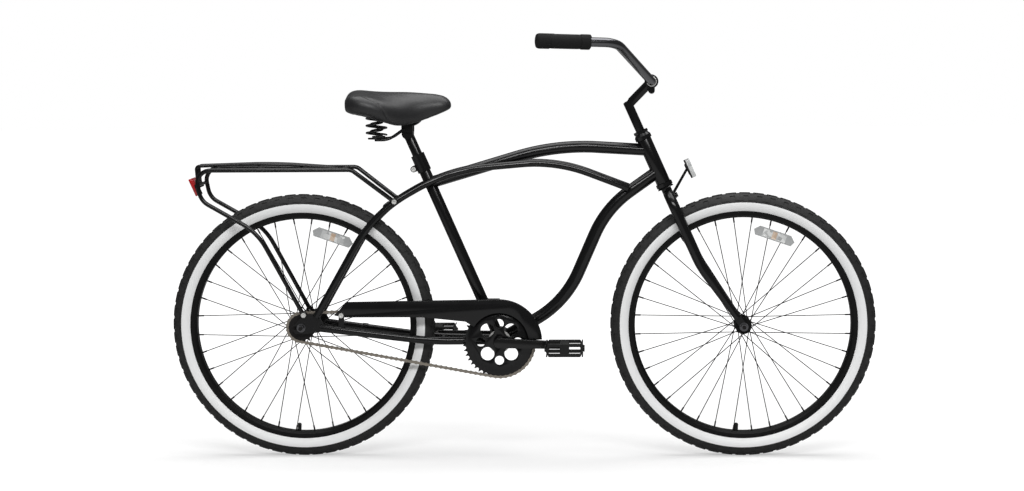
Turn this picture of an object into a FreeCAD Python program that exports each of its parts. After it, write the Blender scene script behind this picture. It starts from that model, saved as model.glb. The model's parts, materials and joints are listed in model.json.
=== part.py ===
import FreeCAD, Part
import math
import os
from FreeCAD import Placement, Rotation, Vector

# Beach cruiser bicycle, in millimetres. +X is forward, +Y is the rider's left, +Z is up.
# The origin is on the ground, midway between the axles, on the centre plane.

SIZES = [
    # Wheels
    ("wheelbase", 1109), ("tyre_radius", 333.5), ("tyre_width", 54), ("tyre_wall", 4), ("tread_flat", 30),
    ("bead_depth", 53.5), ("rim_flange_depth", 44.5), ("rim_inner_depth", 62.5), ("rim_width", 38),
    ("rim_wall", 2), ("tube_thickness", 32), ("valve_radius", 3), ("valve_length", 34),
    ("valve_angle", 267), ("spoke_count", 36), ("spoke_radius", 1.15), ("spoke_lap_steps", 5.5),
    ("spoke_gap", 0.3), ("spoke_rim_offset", 4), ("spoke_lean", 1.6), ("nipple_radius", 2),
    ("nipple_length", 13), ("front_flange_radius", 21), ("front_flange_y", 32), ("front_barrel_radius", 13),
    ("rear_flange_radius", 33), ("rear_flange_y", 27), ("rear_barrel_radius", 24), ("flange_thickness", 3),
    ("axle_radius", 4.75), ("hub_bore_clearance", 0.5), ("hub_end_gap", 3), ("front_dropout_spacing", 100),
    ("rear_dropout_spacing", 110), ("front_axle_length", 138), ("rear_axle_length", 160), ("nut_width", 15),
    ("nut_height", 9), ("washer_radius", 11), ("washer_thickness", 2), ("cone_radius", 9),
    ("cone_length", 11), ("spoke_reflector_inset", 33), ("spoke_reflector_length", 106),
    ("spoke_reflector_height", 25), ("spoke_reflector_thickness", 7), ("spoke_reflector_angle", 71),
    ("spoke_reflector_gap", 0.3),
    # Drive
    ("chain_pitch", 12.7), ("chain_links", 110), ("chainring_teeth", 44), ("sprocket_teeth", 18),
    ("roller_radius", 3.85), ("roller_width", 3.3), ("roller_clearance", 0.15), ("pin_radius", 1.75),
    ("pin_clearance", 0.05), ("plate_height", 8.2), ("plate_thickness", 1), ("plate_gap", 0.1),
    ("tooth_height", 3), ("tooth_thickness", 2.6), ("chain_line", 46), ("bottom_bracket_drop", 37.5),
    ("crank_length", 165), ("crank_angle", -2), ("crank_axle_radius", 11), ("crank_y", 70),
    ("crank_thickness", 13), ("crank_root_height", 25), ("crank_tip_height", 18), ("spider_radius", 78),
    ("spider_thickness", 4), ("large_hole_radius", 17), ("large_hole_circle", 42),
    ("small_hole_radius", 11.5), ("small_hole_circle", 46.5), ("driver_radius", 13), ("pedal_length", 96),
    ("pedal_width", 82), ("pedal_height", 33), ("pedal_corner", 9), ("pedal_gap", 6),
    ("spindle_radius", 6.5), ("spindle_clearance", 0.05), ("spindle_cap", 5), ("guard_y", 59),
    ("guard_thickness", 1.6), ("guard_lip", 12), ("guard_top_radius", 108), ("guard_inner_radius", 74),
    ("guard_tip_x", 83.5), ("guard_tip_z", 31.5), ("guard_shoulder_x", 114.5), ("guard_shoulder_z", 64.5),
    ("guard_lower_x", -193), ("guard_lower_z", 64), ("guard_end_angle", 4), ("guard_heel_angle", 148),
    ("guard_heel_share", 0.92),
    # Frame
    ("head_angle", 66), ("fork_rake", 36), ("head_tube_start", 31.5), ("head_tube_length", 120),
    ("head_tube_radius", 18), ("head_tube_wall", 2), ("cup_height", 9), ("cup_lip", 3), ("cup_skirt", 12),
    ("cup_wall", 2), ("press_clearance", 0.02), ("locknut_height", 14), ("locknut_width", 32),
    ("seat_angle", 66.4), ("seat_tube_length", 506), ("seat_tube_radius", 14.3), ("seat_tube_wall", 1.58),
    ("top_tube_radius", 15), ("top_tube_wall", 1.5), ("top_tube_head", 122), ("top_tube_drop", 72),
    ("top_tube_bend_share", 0.578), ("top_tube_bend_rise", 48), ("down_tube_radius", 16),
    ("down_tube_wall", 1.5), ("down_tube_head", 64), ("down_tube_upper_along", 32.4),
    ("down_tube_upper_back", 157), ("down_tube_lower_share", 0.594), ("down_tube_lower_z", 94),
    ("side_tube_radius", 9), ("side_tube_wall", 1.2), ("side_tube_spread", 24),
    ("side_tube_knee_share_x", 0.555), ("side_tube_knee_share_z", 0.861), ("side_tube_knee_y", 48),
    ("side_tube_drop", 62), ("side_tube_ahead", 57.6), ("side_tube_under", 39), ("side_tube_end_along", 57),
    ("side_tube_end_back", 84.8), ("stay_drop_x", 38), ("stay_drop_z", 27), ("stay_foot_y", 61),
    ("chainstay_radius", 10), ("chainstay_wall", 1.5), ("chainstay_root_y", 21),
    ("chainstay_bend_share", 0.4), ("chainstay_bend_x", 191.4), ("chainstay_sag", 11),
    ("chainstay_bend_radius", 600), ("chainstay_bend_y", 41.5), ("chainstay_end_x", 47),
    ("bridge_radius", 7), ("bridge_clearance", 20.5), ("upper_bridge_share", 0.16), ("shell_radius", 29),
    ("shell_bore", 25.65), ("shell_width", 70), ("dropout_thickness", 5), ("dropout_radius", 15),
    ("eyelet_radius", 9), ("eyelet_x", 7), ("eyelet_z", 33), ("clamp_overlap", 40), ("clamp_height", 46),
    ("clamp_wall", 3), ("clamp_lug_back", 23), ("clamp_lug_rise", 16), ("clamp_lug_radius", 8),
    ("clamp_lug_width", 22), ("clamp_slot", 3), ("bolt_radius", 3), ("bolt_head_radius", 6),
    ("bolt_head_height", 4.5), ("bolt_clearance", 0.1),
    # Fork, stem and handlebar
    ("steerer_radius", 12.7), ("steerer_wall", 1.5), ("crown_clearance", 42.5), ("fork_leg_radius", 13.3),
    ("fork_tip_radius", 8.5), ("fork_wall", 2), ("fork_spread", 47), ("crown_bend_radius", 37.6),
    ("fork_bend_share", 0.503), ("fork_tip_back", 26), ("fork_tip_thickness", 5), ("fork_tip_width", 18),
    ("crown_race_height", 5), ("crown_bolt_drop", 9), ("stem_insert", 76), ("stem_clearance", 0.05),
    ("stem_knee_along", 246), ("stem_reach", 76), ("stem_rise", 30), ("stem_clamp_radius", 17),
    ("stem_clamp_width", 40), ("stem_bore", 12.7), ("stem_lug_drop", 23), ("stem_lug_radius", 8),
    ("stem_bolt_sink", 6), ("wedge_length", 30), ("bar_radius", 11.1), ("bar_wall", 1.6),
    ("bar_sleeve_width", 52), ("bar_centre_half", 32), ("bar_knee_back", 88), ("bar_knee_y", 252),
    ("bar_knee_rise", 97), ("bar_end_back", 276), ("bar_end_y", 312), ("bar_end_rise", 103),
    ("bar_knee_radius", 62), ("bar_centre_radius", 42), ("grip_length", 129), ("grip_radius", 17.5),
    ("grip_end_radius", 18.4), ("grip_inner_end", 24), ("grip_outer_end", 31), ("grip_cap", 3),
    ("grip_hole_radius", 4), ("grip_groove", 1.5), ("fork_reflector_along", 38),
    ("fork_reflector_forward", 82), ("fork_reflector_width", 48), ("fork_reflector_height", 46),
    ("fork_reflector_depth", 14), ("bracket_thickness", 3), ("bracket_width", 14),
    # Seat
    ("post_clearance", 0.03), ("post_insert", 176), ("post_exposed", 60), ("post_wall", 1.8),
    ("knuckle_rise", 4), ("knuckle_radius", 14), ("knuckle_width", 46), ("rail_radius", 3.5),
    ("rail_spread", 22), ("rail_nose_x", 45.2), ("rail_nose_z", 47.7), ("rail_nose_y", 9),
    ("foot_radius", 17), ("foot_thickness", 4), ("foot_drop", 12.3), ("spring_back", 78.8),
    ("spring_y", 52), ("spring_coil_radius", 20), ("spring_wire", 2.5), ("spring_turns", 3.5),
    ("saddle_rear", 151.8), ("saddle_nose", 111.2), ("saddle_top", 100.7), ("saddle_rear_rise", 9),
    ("saddle_width", 228), ("saddle_belly", 19.7), ("pan_thickness", 3), ("pan_gap", 0.3),
    ("pad_thickness", 37), ("skirt_thickness", 14),
    # Rack
    ("rack_radius", 5.5), ("rack_half_width", 66), ("rack_clearance", 64), ("rack_front_x", 132.5),
    ("rack_rear_x", -260.5), ("rack_drop_x", -245.5), ("rack_drop_z", 76), ("rack_knee_x", -105.5),
    ("rack_knee_z", 156), ("rack_bar_radius", 4), ("rack_bar_count", 4), ("rack_rod_spread", 20),
    ("rack_tab_thickness", 4), ("rack_strut_share", 0.28), ("rack_tail_drop", 37), ("rack_crest_rise", 14),
    ("rack_rod_gap", 0.3), ("rack_front_bend", 25), ("rack_rear_bend", 32), ("rack_drop_bend", 45),
    ("rack_knee_bend", 150), ("rack_crest_x", -72.5), ("tail_reflector_width", 60),
    ("tail_reflector_height", 46), ("tail_reflector_depth", 8), ("tail_holder_depth", 7),
    ("brake_arm_length", 150), ("brake_arm_drop", 32), ("brake_arm_y", 42), ("brake_arm_height", 14),
    ("brake_arm_thickness", 4), ("brake_strap_width", 14),
]

document = FreeCAD.newDocument("cruiser")
sheet = document.addObject("Spreadsheet::Sheet", "Sizes")
for row, (name, value) in enumerate(SIZES, start=1):
    sheet.set("A%d" % row, name)
    sheet.set("B%d" % row, str(value))
    sheet.setAlias("B%d" % row, name)
document.recompute()

NODES = []


def size(name):
    """The value of one driving dimension."""
    return float(sheet.get(name))


def keep(piece, label):
    """Names a finished sub-part and puts it on the list that is written out."""
    piece.Label = label
    NODES.append(piece)
    return piece


def shaped(label, shape):
    """A sub-part whose shape is worked out below."""
    piece = document.addObject("Part::Feature", label)
    piece.Shape = shape
    return keep(piece, label)


def mirrored(shape):
    """The same shape on the other side of the centre plane."""
    return shape.mirror(Vector(0, 0, 0), Vector(0, 1, 0))


def both_sides(shape):
    """The shape and its mirror image, as two separate solids."""
    return Part.makeCompound([shape, mirrored(shape)])


def rounded_path(corners, radii=None):
    """Straight runs joined by tangent arcs: as large as the runs allow, or of the given radii."""
    edges = []
    last = corners[0]
    for index in range(1, len(corners) - 1):
        before, corner, after = corners[index - 1], corners[index], corners[index + 1]
        back = (before - corner).normalize()
        ahead = (after - corner).normalize()
        half_turn = (math.pi - back.getAngle(ahead)) / 2
        shorter = min((before - corner).Length, (after - corner).Length)
        reach = 0.45 * shorter
        if radii:
            reach = radii[index - 1] * math.tan(half_turn)
        radius = reach / math.tan(half_turn)
        start = corner + back * reach
        end = corner + ahead * reach
        bisector = (back + ahead).normalize()
        middle = corner + bisector * (radius / math.cos(half_turn) - radius)
        edges.append(Part.LineSegment(last, start).toShape())
        edges.append(Part.Arc(start, middle, end).toShape())
        last = end
    edges.append(Part.LineSegment(last, corners[-1]).toShape())
    return Part.Wire(edges)


def swept(path, radius):
    """A round bar along a path."""
    start = path.Edges[0].firstVertex().Point
    direction = path.Edges[0].tangentAt(path.Edges[0].FirstParameter)
    circle = Part.Wire(Part.makeCircle(radius, start, direction))
    return path.makePipeShell([circle], True, False)


def rod(start, end, radius):
    """A straight round bar between two points."""
    return Part.makeCylinder(radius, (end - start).Length, start, end - start)


def mitred(start, corner, end, radius):
    """Two straight round runs that meet in a sharp mitre."""
    first_way = (corner - start).normalize()
    second_way = (end - corner).normalize()
    reach = 3 * radius
    turn = Rotation(Vector(1, 0, 0), first_way + second_way)
    beyond = Part.makeBox(2 * reach, 2 * reach, 2 * reach, Vector(0, -reach, -reach))
    before = Part.makeBox(2 * reach, 2 * reach, 2 * reach, Vector(-2 * reach, -reach, -reach))
    for half in (beyond, before):
        half.Placement = Placement(corner, turn)
    first = rod(start, corner + first_way * reach, radius).cut(beyond)
    second = rod(corner - second_way * reach, end, radius).cut(before)
    return first.fuse(second)


def turned(profile, centre, axis=Vector(0, 1, 0)):
    """A ring or shaft turned about an axis from (radius, along) points."""
    direction = Vector(axis).normalize()
    points = [Vector(radius, 0, along) for radius, along in profile]
    face = Part.Face(Part.makePolygon(points + points[:1]))
    solid = face.revolve(Vector(0, 0, 0), Vector(0, 0, 1), 360)
    solid.Placement = Placement(centre, Rotation(Vector(0, 0, 1), direction))
    return solid


def hexagon_nut(centre, axis, width, height, bore):
    """A six-sided nut that starts at a point and rises along an axis."""
    corner_radius = width / math.sqrt(3)
    points = [Vector(corner_radius * math.cos(step * math.pi / 3),
                     corner_radius * math.sin(step * math.pi / 3), 0)
              for step in range(7)]
    nut = Part.Face(Part.makePolygon(points)).extrude(Vector(0, 0, height))
    if bore:
        nut = nut.cut(Part.makeCylinder(bore, height))
    nut.Placement = Placement(centre, Rotation(Vector(0, 0, 1), axis))
    return nut


def plate(points, y_from, y_to):
    """A flat plate cut in the side view, from (x, z) points, between two depths."""
    outline = [Vector(x, y_from, z) for x, z in points]
    face = Part.Face(Part.makePolygon(outline + outline[:1]))
    return face.extrude(Vector(0, y_to - y_from, 0))


# Key points and axes of the whole bicycle
TYRE_RADIUS = size("tyre_radius")
BEAD_RADIUS = TYRE_RADIUS - size("bead_depth")
FLANGE_RADIUS = TYRE_RADIUS - size("rim_flange_depth")
RIM_INNER = TYRE_RADIUS - size("rim_inner_depth")
REAR = Vector(-size("wheelbase") / 2, 0, TYRE_RADIUS)
FRONT = Vector(size("wheelbase") / 2, 0, TYRE_RADIUS)
LEFT = Vector(0, 1, 0)
RIGHT = Vector(0, -1, 0)
UP = Vector(0, 0, 1)


def pitch_radius(teeth):
    """The radius of the circle that the chain's pins follow round a sprocket."""
    return size("chain_pitch") / (2 * math.sin(math.pi / teeth))


RING_TEETH = int(size("chainring_teeth"))
COG_TEETH = int(size("sprocket_teeth"))
LINKS = int(size("chain_links"))
RING_RADIUS = pitch_radius(RING_TEETH)
COG_RADIUS = pitch_radius(COG_TEETH)


def links_needed(centres):
    """How many chain links go round both sprockets at a distance between centres."""
    wrap = math.asin((RING_RADIUS - COG_RADIUS) / centres)
    straight = 2 * centres * math.cos(wrap) / size("chain_pitch")
    return straight + RING_TEETH * (0.5 + wrap / math.pi) + COG_TEETH * (0.5 - wrap / math.pi)


def drive_centres():
    """The distance between crank and rear axle at which the chain just fits."""
    low = RING_RADIUS + COG_RADIUS
    high = LINKS * size("chain_pitch")
    for _ in range(60):
        middle = (low + high) / 2
        if links_needed(middle) < LINKS:
            low = middle
        else:
            high = middle
    return (low + high) / 2


CENTRES = drive_centres()
DROP = size("bottom_bracket_drop")
CRANK = Vector(REAR.x + math.sqrt(CENTRES ** 2 - DROP ** 2), 0, TYRE_RADIUS - DROP)
SEAT_TILT = math.radians(size("seat_angle"))
SEAT_UP = Vector(-math.cos(SEAT_TILT), 0, math.sin(SEAT_TILT))
SEAT_AHEAD = Vector(math.sin(SEAT_TILT), 0, math.cos(SEAT_TILT))
HEAD_TILT = math.radians(size("head_angle"))
HEAD_UP = Vector(-math.cos(HEAD_TILT), 0, math.sin(HEAD_TILT))
HEAD_AHEAD = Vector(math.sin(HEAD_TILT), 0, math.cos(HEAD_TILT))
STEER_FOOT = FRONT - HEAD_AHEAD * size("fork_rake")
CROWN_RISE = TYRE_RADIUS + size("crown_clearance")
HEAD_TURN = Rotation(LEFT, size("head_angle") - 90)
HEAD_TOP = size("head_tube_start") + size("head_tube_length")
SEAT_TURN = Rotation(LEFT, size("seat_angle") - 90)


def on_head(along, ahead=0.0, side=0.0):
    """A point by its place above the fork crown on the steering axis, ahead of it and to the left of it."""
    return STEER_FOOT + HEAD_UP * (CROWN_RISE + along) + HEAD_AHEAD * ahead + LEFT * side


def on_seat(along, ahead=0.0, side=0.0):
    """A point by its place along the seat tube's axis, ahead of it and to the left of it."""
    return CRANK + SEAT_UP * along + SEAT_AHEAD * ahead + LEFT * side


def from_crank(x, z, side=0.0):
    """A point by its place ahead of and above the crank axle."""
    return CRANK + Vector(x, side, z)


def cylinder(name, radius, length, base, turn):
    """A round bar whose sizes follow the sheet."""
    piece = document.addObject("Part::Cylinder", name)
    piece.setExpression("Radius", radius)
    piece.setExpression("Height", length)
    piece.Placement = Placement(base, turn)
    return piece


def cut(name, base, tool):
    """One sub-part with another shape taken out of it."""
    piece = document.addObject("Part::Cut", name)
    piece.Base = base
    piece.Tool = tool
    return piece


def swept_bar(name, path, radius):
    """A round bar along a path, with a section that follows the sheet."""
    line = document.addObject("Part::Feature", name + "_line")
    line.Shape = path
    section = document.addObject("Part::Circle", name + "_section")
    section.setExpression("Radius", radius)
    first = path.Edges[0]
    section.Placement = Placement(first.firstVertex().Point,
                                  Rotation(UP, first.tangentAt(first.FirstParameter)))
    bar = document.addObject("Part::Sweep", name + "_bar")
    bar.Sections = [section]
    bar.Spine = (line, ["Edge%d" % (step + 1) for step in range(len(path.Edges))])
    bar.Solid = True
    bar.Frenet = False
    return bar


def swept_tube(name, path, alias, cutters):
    """A tube along a path, with its ends cut to the outsides of the pieces that it is welded to."""
    outer = swept_bar(name + "_outer", path, "Sizes.%s_radius" % alias)
    inner = swept_bar(name + "_inner", path, "Sizes.%s_radius - Sizes.%s_wall" % (alias, alias))
    piece = cut(name + "_hollow", outer, inner)
    for step, cutter in enumerate(cutters):
        piece = cut("%s_mitre_%d" % (name, step + 1), piece, cutter)
    return piece, outer


def mirrored_pair(name, piece):
    """A sub-part and its mirror image, as two separate solids in one node."""
    twin = document.addObject("Part::Mirroring", name + "_left")
    twin.Source = piece
    twin.Normal = LEFT
    pair = document.addObject("Part::Compound", name + "_pair")
    pair.Links = [piece, twin]
    return pair


# Frame: head tube, bottom bracket shell and seat tube carry the other tubes
ACROSS = Rotation(Vector(1, 0, 0), 90)
head_base = on_head(size("head_tube_start"))
head_outer = cylinder("head_outer", "Sizes.head_tube_radius", "Sizes.head_tube_length", head_base,
                      HEAD_TURN)
head_bore = cylinder("head_bore", "Sizes.head_tube_radius - Sizes.head_tube_wall", "Sizes.head_tube_length",
                     head_base, HEAD_TURN)
keep(cut("head_tube_cut", head_outer, head_bore), "head_tube")

shell_left = CRANK + LEFT * (size("shell_width") / 2)
shell_outer = cylinder("shell_outer", "Sizes.shell_radius", "Sizes.shell_width", shell_left, ACROSS)
shell_bore = cylinder("shell_bore", "Sizes.shell_bore", "Sizes.shell_width", shell_left, ACROSS)
keep(cut("shell_cut", shell_outer, shell_bore), "bottom_bracket_shell")

seat_outer = cylinder("seat_outer", "Sizes.seat_tube_radius", "Sizes.seat_tube_length", CRANK, SEAT_TURN)
seat_bore = cylinder("seat_bore", "Sizes.seat_tube_radius - Sizes.seat_tube_wall", "Sizes.seat_tube_length",
                     CRANK, SEAT_TURN)
seat_hollow = cut("seat_hollow", seat_outer, seat_bore)
seat_tube = cut("seat_tube_cut", seat_hollow, shell_outer)
keep(seat_tube, "seat_tube")

SEAT_TOP = size("seat_tube_length")
top_front = on_head(size("top_tube_head"))
top_rear = on_seat(SEAT_TOP - size("top_tube_drop"))
top_bend = top_rear + (top_front - top_rear) * size("top_tube_bend_share") + UP * size("top_tube_bend_rise")
top_path = rounded_path([top_front, top_bend, top_rear])
cup_room = cylinder("cup_room", "Sizes.head_tube_radius + Sizes.cup_lip + Sizes.bolt_clearance",
                    "Sizes.cup_height", on_head(HEAD_TOP), HEAD_TURN)
top_tube, top_outer = swept_tube("top_tube", top_path, "top_tube", [head_outer, cup_room, seat_outer])
keep(top_tube, "top_tube")

wheel_gap = FRONT.x - TYRE_RADIUS - CRANK.x
down_path = rounded_path([on_head(size("down_tube_head")),
                          on_head(size("down_tube_upper_along"), -size("down_tube_upper_back")),
                          from_crank(wheel_gap * size("down_tube_lower_share"), size("down_tube_lower_z")),
                          CRANK])
down_tube, down_outer = swept_tube("down_tube", down_path, "down_tube",
                                   [head_outer, shell_outer, seat_outer, top_outer])
keep(down_tube, "down_tube")

# Side tubes: each runs from a dropout, past the seat tube, to the side of the down tube
DROPOUT_Y = size("rear_dropout_spacing") / 2
STAY_Y = DROPOUT_Y + size("dropout_thickness") / 2
SPREAD = size("side_tube_spread")
side_knee = REAR + Vector(TYRE_RADIUS * size("side_tube_knee_share_x"), -size("side_tube_knee_y"),
                          TYRE_RADIUS * size("side_tube_knee_share_z"))
side_seat = on_seat(SEAT_TOP - size("side_tube_drop"), size("side_tube_ahead"), -SPREAD)
side_foot = REAR + Vector(size("stay_drop_x"), -size("stay_foot_y"), size("stay_drop_z"))
side_path = rounded_path([side_foot, side_knee, side_seat,
                          top_bend - UP * size("side_tube_under") + RIGHT * SPREAD,
                          on_head(size("side_tube_end_along"), -size("side_tube_end_back"), -SPREAD)])

# Dropout plates, drawn in the side view round the rear axle
AXLE = size("axle_radius")
EYELET = REAR + Vector(size("eyelet_x"), 0, size("eyelet_z"))
stay_end = REAR + Vector(size("chainstay_end_x"), -STAY_Y, 0)
axle_way = (CRANK - REAR).normalize()
bend_along = TYRE_RADIUS * size("chainstay_bend_share") + size("chainstay_bend_x")
stay_sag = REAR + axle_way * bend_along - UP * size("chainstay_sag")
chainstay_bend = stay_sag + RIGHT * size("chainstay_bend_y")
tab = size("side_tube_radius")
dropout_edge = [
    (stay_end.x + tab, stay_end.z - tab), (stay_end.x + tab, stay_end.z + tab),
    (side_foot.x + tab, side_foot.z), (side_foot.x + tab, side_foot.z + 2 * tab),
    (side_foot.x - tab / 2, side_foot.z + tab),
    (EYELET.x, EYELET.z), (EYELET.x - size("eyelet_radius") - tab, REAR.z + size("dropout_radius")),
    (REAR.x - size("dropout_radius") - tab, REAR.z),
    (REAR.x - size("dropout_radius"), REAR.z - size("dropout_radius")),
    (REAR.x + size("dropout_radius"), REAR.z - size("dropout_radius")),
]
outside_y = -DROPOUT_Y - size("dropout_thickness")
dropout = plate(dropout_edge, -DROPOUT_Y, outside_y)
eyelet_start = Vector(EYELET.x, -DROPOUT_Y, EYELET.z)
eyelet_boss = Part.makeCylinder(size("eyelet_radius"), size("dropout_thickness"), eyelet_start, RIGHT)
axle_slot = plate([(REAR.x - 4 * size("dropout_radius"), REAR.z - AXLE), (REAR.x, REAR.z - AXLE),
                   (REAR.x, REAR.z + AXLE), (REAR.x - 4 * size("dropout_radius"), REAR.z + AXLE)],
                  -DROPOUT_Y, outside_y)
axle_seat = Part.makeCylinder(AXLE, size("dropout_thickness"), Vector(REAR.x, -DROPOUT_Y, REAR.z), RIGHT)
eyelet_hole = Part.makeCylinder(size("bolt_radius") + size("bolt_clearance"), size("dropout_thickness"),
                                eyelet_start, RIGHT)
dropout = dropout.fuse(eyelet_boss).removeSplitter()
dropout = dropout.cut(Part.makeCompound([axle_slot, axle_seat, eyelet_hole]))
dropouts = shaped("dropouts", both_sides(dropout))

side_tube, side_outer = swept_tube("side_tube", side_path, "side_tube",
                                   [down_outer, top_outer, seat_outer, dropouts])
keep(mirrored_pair("side_tubes", side_tube), "side_tubes")

chainstay_path = rounded_path([CRANK + RIGHT * size("chainstay_root_y"), chainstay_bend, stay_end],
                              [size("chainstay_bend_radius")])
chainstay, chainstay_outer = swept_tube("chainstay", chainstay_path, "chainstay",
                                        [shell_outer, seat_outer, dropouts])
keep(mirrored_pair("chainstays", chainstay), "chainstays")

# Cross bridges between the stays, in front of and above the rear tyre
past_bend = TYRE_RADIUS + size("bridge_clearance") - bend_along
lower_bridge = stay_sag + (CRANK - stay_sag).normalize() * past_bend
upper_bridge = side_knee + (side_seat - side_knee) * size("upper_bridge_share")
upper_bridge = Vector(upper_bridge.x, 0, upper_bridge.z)
bridges = []
for middle, half in ((lower_bridge, size("chainstay_bend_y")), (upper_bridge, size("side_tube_knee_y"))):
    bar = rod(middle + RIGHT * half, middle + LEFT * half, size("bridge_radius"))
    bridges.append(bar)
document.recompute()
stay_bars = [chainstay_outer.Shape, mirrored(chainstay_outer.Shape), side_outer.Shape,
             mirrored(side_outer.Shape)]
shaped("stay_bridges",
       Part.makeCompound([bar.cut(Part.makeCompound(stay_bars)).Solids[0] for bar in bridges]))

# Headset cups, pressed into both ends of the head tube, and bottom bracket cups in the shell
HEAD_BORE = size("head_tube_radius") - size("head_tube_wall")
CUP_LIP = size("head_tube_radius") + size("cup_lip")


def pressed_cup(bore, lip, height, track):
    """A cup's section: a skirt inside the bore and a lip outside it, with room for balls at the track."""
    outer = bore - size("press_clearance")
    inner = outer - size("cup_wall")
    section = [(inner, -size("cup_skirt")), (outer, -size("cup_skirt")), (outer, 0), (lip, 0),
               (lip, height)]
    if track > inner:
        return section + [(track, height), (track, height / 3), (inner, height / 3)]
    return section + [(inner, height)]


def cup_pair(label, bore, lip, height, track, low_end, high_end, axis):
    """Two pressed cups that face away from each other."""
    section = pressed_cup(bore, lip, height, track)
    shaped(label, Part.makeCompound([turned(section, high_end, axis), turned(section, low_end, axis * -1)]))


HEAD_TRACK = CUP_LIP - size("cup_lip")
cup_pair("headset_cups", HEAD_BORE, CUP_LIP, size("cup_height"), HEAD_TRACK, head_base, on_head(HEAD_TOP),
         HEAD_UP)
SHELL_END = LEFT * (size("shell_width") / 2)
cup_pair("bottom_bracket_cups", size("shell_bore"), size("shell_radius"), size("cup_wall"), 0,
         CRANK - SHELL_END, CRANK + SHELL_END, LEFT)


def ball_ring(centre, axis, inner, outer):
    """Loose balls side by side between an inner and an outer track."""
    radius = (outer - inner) / 2 - size("pin_clearance")
    track = (outer + inner) / 2
    count = int(math.pi * track / radius * 0.9)
    turn = Rotation(UP, axis)
    places = [centre + turn.multVec(Vector(track * math.cos(step), track * math.sin(step), 0))
              for step in [2 * math.pi * index / count for index in range(count)]]
    return [Part.makeSphere(radius, place) for place in places]


SHELL_CUP_BORE = size("shell_bore") - size("press_clearance") - size("cup_wall")
CRANK_CONE = SHELL_CUP_BORE - 2 * size("bolt_radius")
BALL_SHARE = 0.86
head_balls = []
shell_balls = []
BALL_RISE = size("cup_height") * 2 / 3
for along in (size("head_tube_start") - BALL_RISE, HEAD_TOP + BALL_RISE):
    head_balls += ball_ring(on_head(along), HEAD_UP, size("steerer_radius"), HEAD_TRACK)
for side in (-1, 1):
    shell_balls += ball_ring(CRANK + SHELL_END * (side * BALL_SHARE), LEFT, CRANK_CONE, SHELL_CUP_BORE)
shaped("bearing_balls", Part.makeCompound(head_balls + shell_balls))

# Seat clamp: a split collar round the top of the seat tube, pinched by a bolt behind it
CLAMP_BORE = size("seat_tube_radius") + size("press_clearance")
CLAMP_RADIUS = CLAMP_BORE + size("clamp_wall")
CLAMP_START = SEAT_TOP - size("clamp_overlap")
clamp_foot = on_seat(CLAMP_START)
clamp_lug = on_seat(CLAMP_START + size("clamp_lug_rise"), -size("clamp_lug_back"))
clamp_height = size("clamp_height")
lug_half = LEFT * (size("clamp_lug_width") / 2)
collar = Part.makeCylinder(CLAMP_RADIUS, clamp_height, clamp_foot, SEAT_UP)
lug = rod(clamp_lug - lug_half, clamp_lug + lug_half, size("clamp_lug_radius"))
neck = Part.makeBox(size("clamp_lug_back"), size("clamp_lug_width"), 2 * size("clamp_lug_radius"))
neck.Placement = Placement(clamp_lug - lug_half - SEAT_UP * size("clamp_lug_radius"), SEAT_TURN)
slot = Part.makeBox(2 * CLAMP_RADIUS, size("clamp_slot"), clamp_height)
slot.Placement = Placement(on_seat(CLAMP_START, -2 * CLAMP_RADIUS, -size("clamp_slot") / 2), SEAT_TURN)
clamp_bolt_hole = rod(clamp_lug - lug_half, clamp_lug + lug_half,
                      size("bolt_radius") + size("bolt_clearance"))
post_bore = Part.makeCylinder(size("seat_tube_radius") - size("seat_tube_wall"), clamp_height, clamp_foot,
                              SEAT_UP)
tube_bore = Part.makeCylinder(CLAMP_BORE, size("clamp_overlap"), clamp_foot, SEAT_UP)
clamp = collar.fuse([lug, neck]).removeSplitter()
document.recompute()
welded = [post_bore, tube_bore, slot, clamp_bolt_hole, top_outer.Shape, side_outer.Shape,
          mirrored(side_outer.Shape)]
shaped("seat_clamp", clamp.cut(Part.makeCompound(welded)))


def bolt(seat, axis, length):
    """A bolt with its head on a seat, and its shank running back along the axis."""
    direction = Vector(axis).normalize()
    head = Part.makeCylinder(size("bolt_head_radius"), size("bolt_head_height"), seat, direction)
    socket = hexagon_nut(seat + direction * (size("bolt_head_height") / 2), direction,
                         size("bolt_head_radius"),
                         size("bolt_head_height"), 0)
    shank = Part.makeCylinder(size("bolt_radius"), length, seat, direction * -1)
    return head.cut(socket).fuse(shank).removeSplitter()


# Fork: steerer, two legs that curve out of the crown, and the plates at their tips
steerer_base = on_head(0)
STEERER_TOP = HEAD_TOP + size("cup_height") + size("locknut_height")
steerer_bar = Part.makeCylinder(size("steerer_radius"), STEERER_TOP, steerer_base, HEAD_UP)
STEERER_BORE = size("steerer_radius") - size("steerer_wall")
steerer_bore = Part.makeCylinder(STEERER_BORE, STEERER_TOP, steerer_base, HEAD_UP)

TIP_Y = size("front_dropout_spacing") / 2
TIP_MIDDLE = TIP_Y + size("fork_tip_thickness") / 2
fork_bend = on_head(-CROWN_RISE * size("fork_bend_share"), 0, -size("fork_spread"))
axle_right = FRONT + RIGHT * TIP_MIDDLE
fork_tip = axle_right + (fork_bend - axle_right).normalize() * size("fork_tip_back")
upper_corners = [on_head(0), on_head(0, 0, -size("fork_spread")), fork_bend]
crown_bend = size("crown_bend_radius")
lower_direction = (fork_tip - fork_bend).normalize()
upper_direction = (fork_bend - upper_corners[1]).normalize()
bend_reach = size("fork_leg_radius") * 2
bend_points = [fork_bend - upper_direction * bend_reach, fork_bend,
               fork_bend + lower_direction * bend_reach]
bend_turn = upper_direction.getAngle(lower_direction) / 2
leg_path = rounded_path(upper_corners[:2] + [fork_bend, bend_points[2]],
                        [crown_bend, bend_reach * 0.98 / math.tan(bend_turn)])


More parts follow.
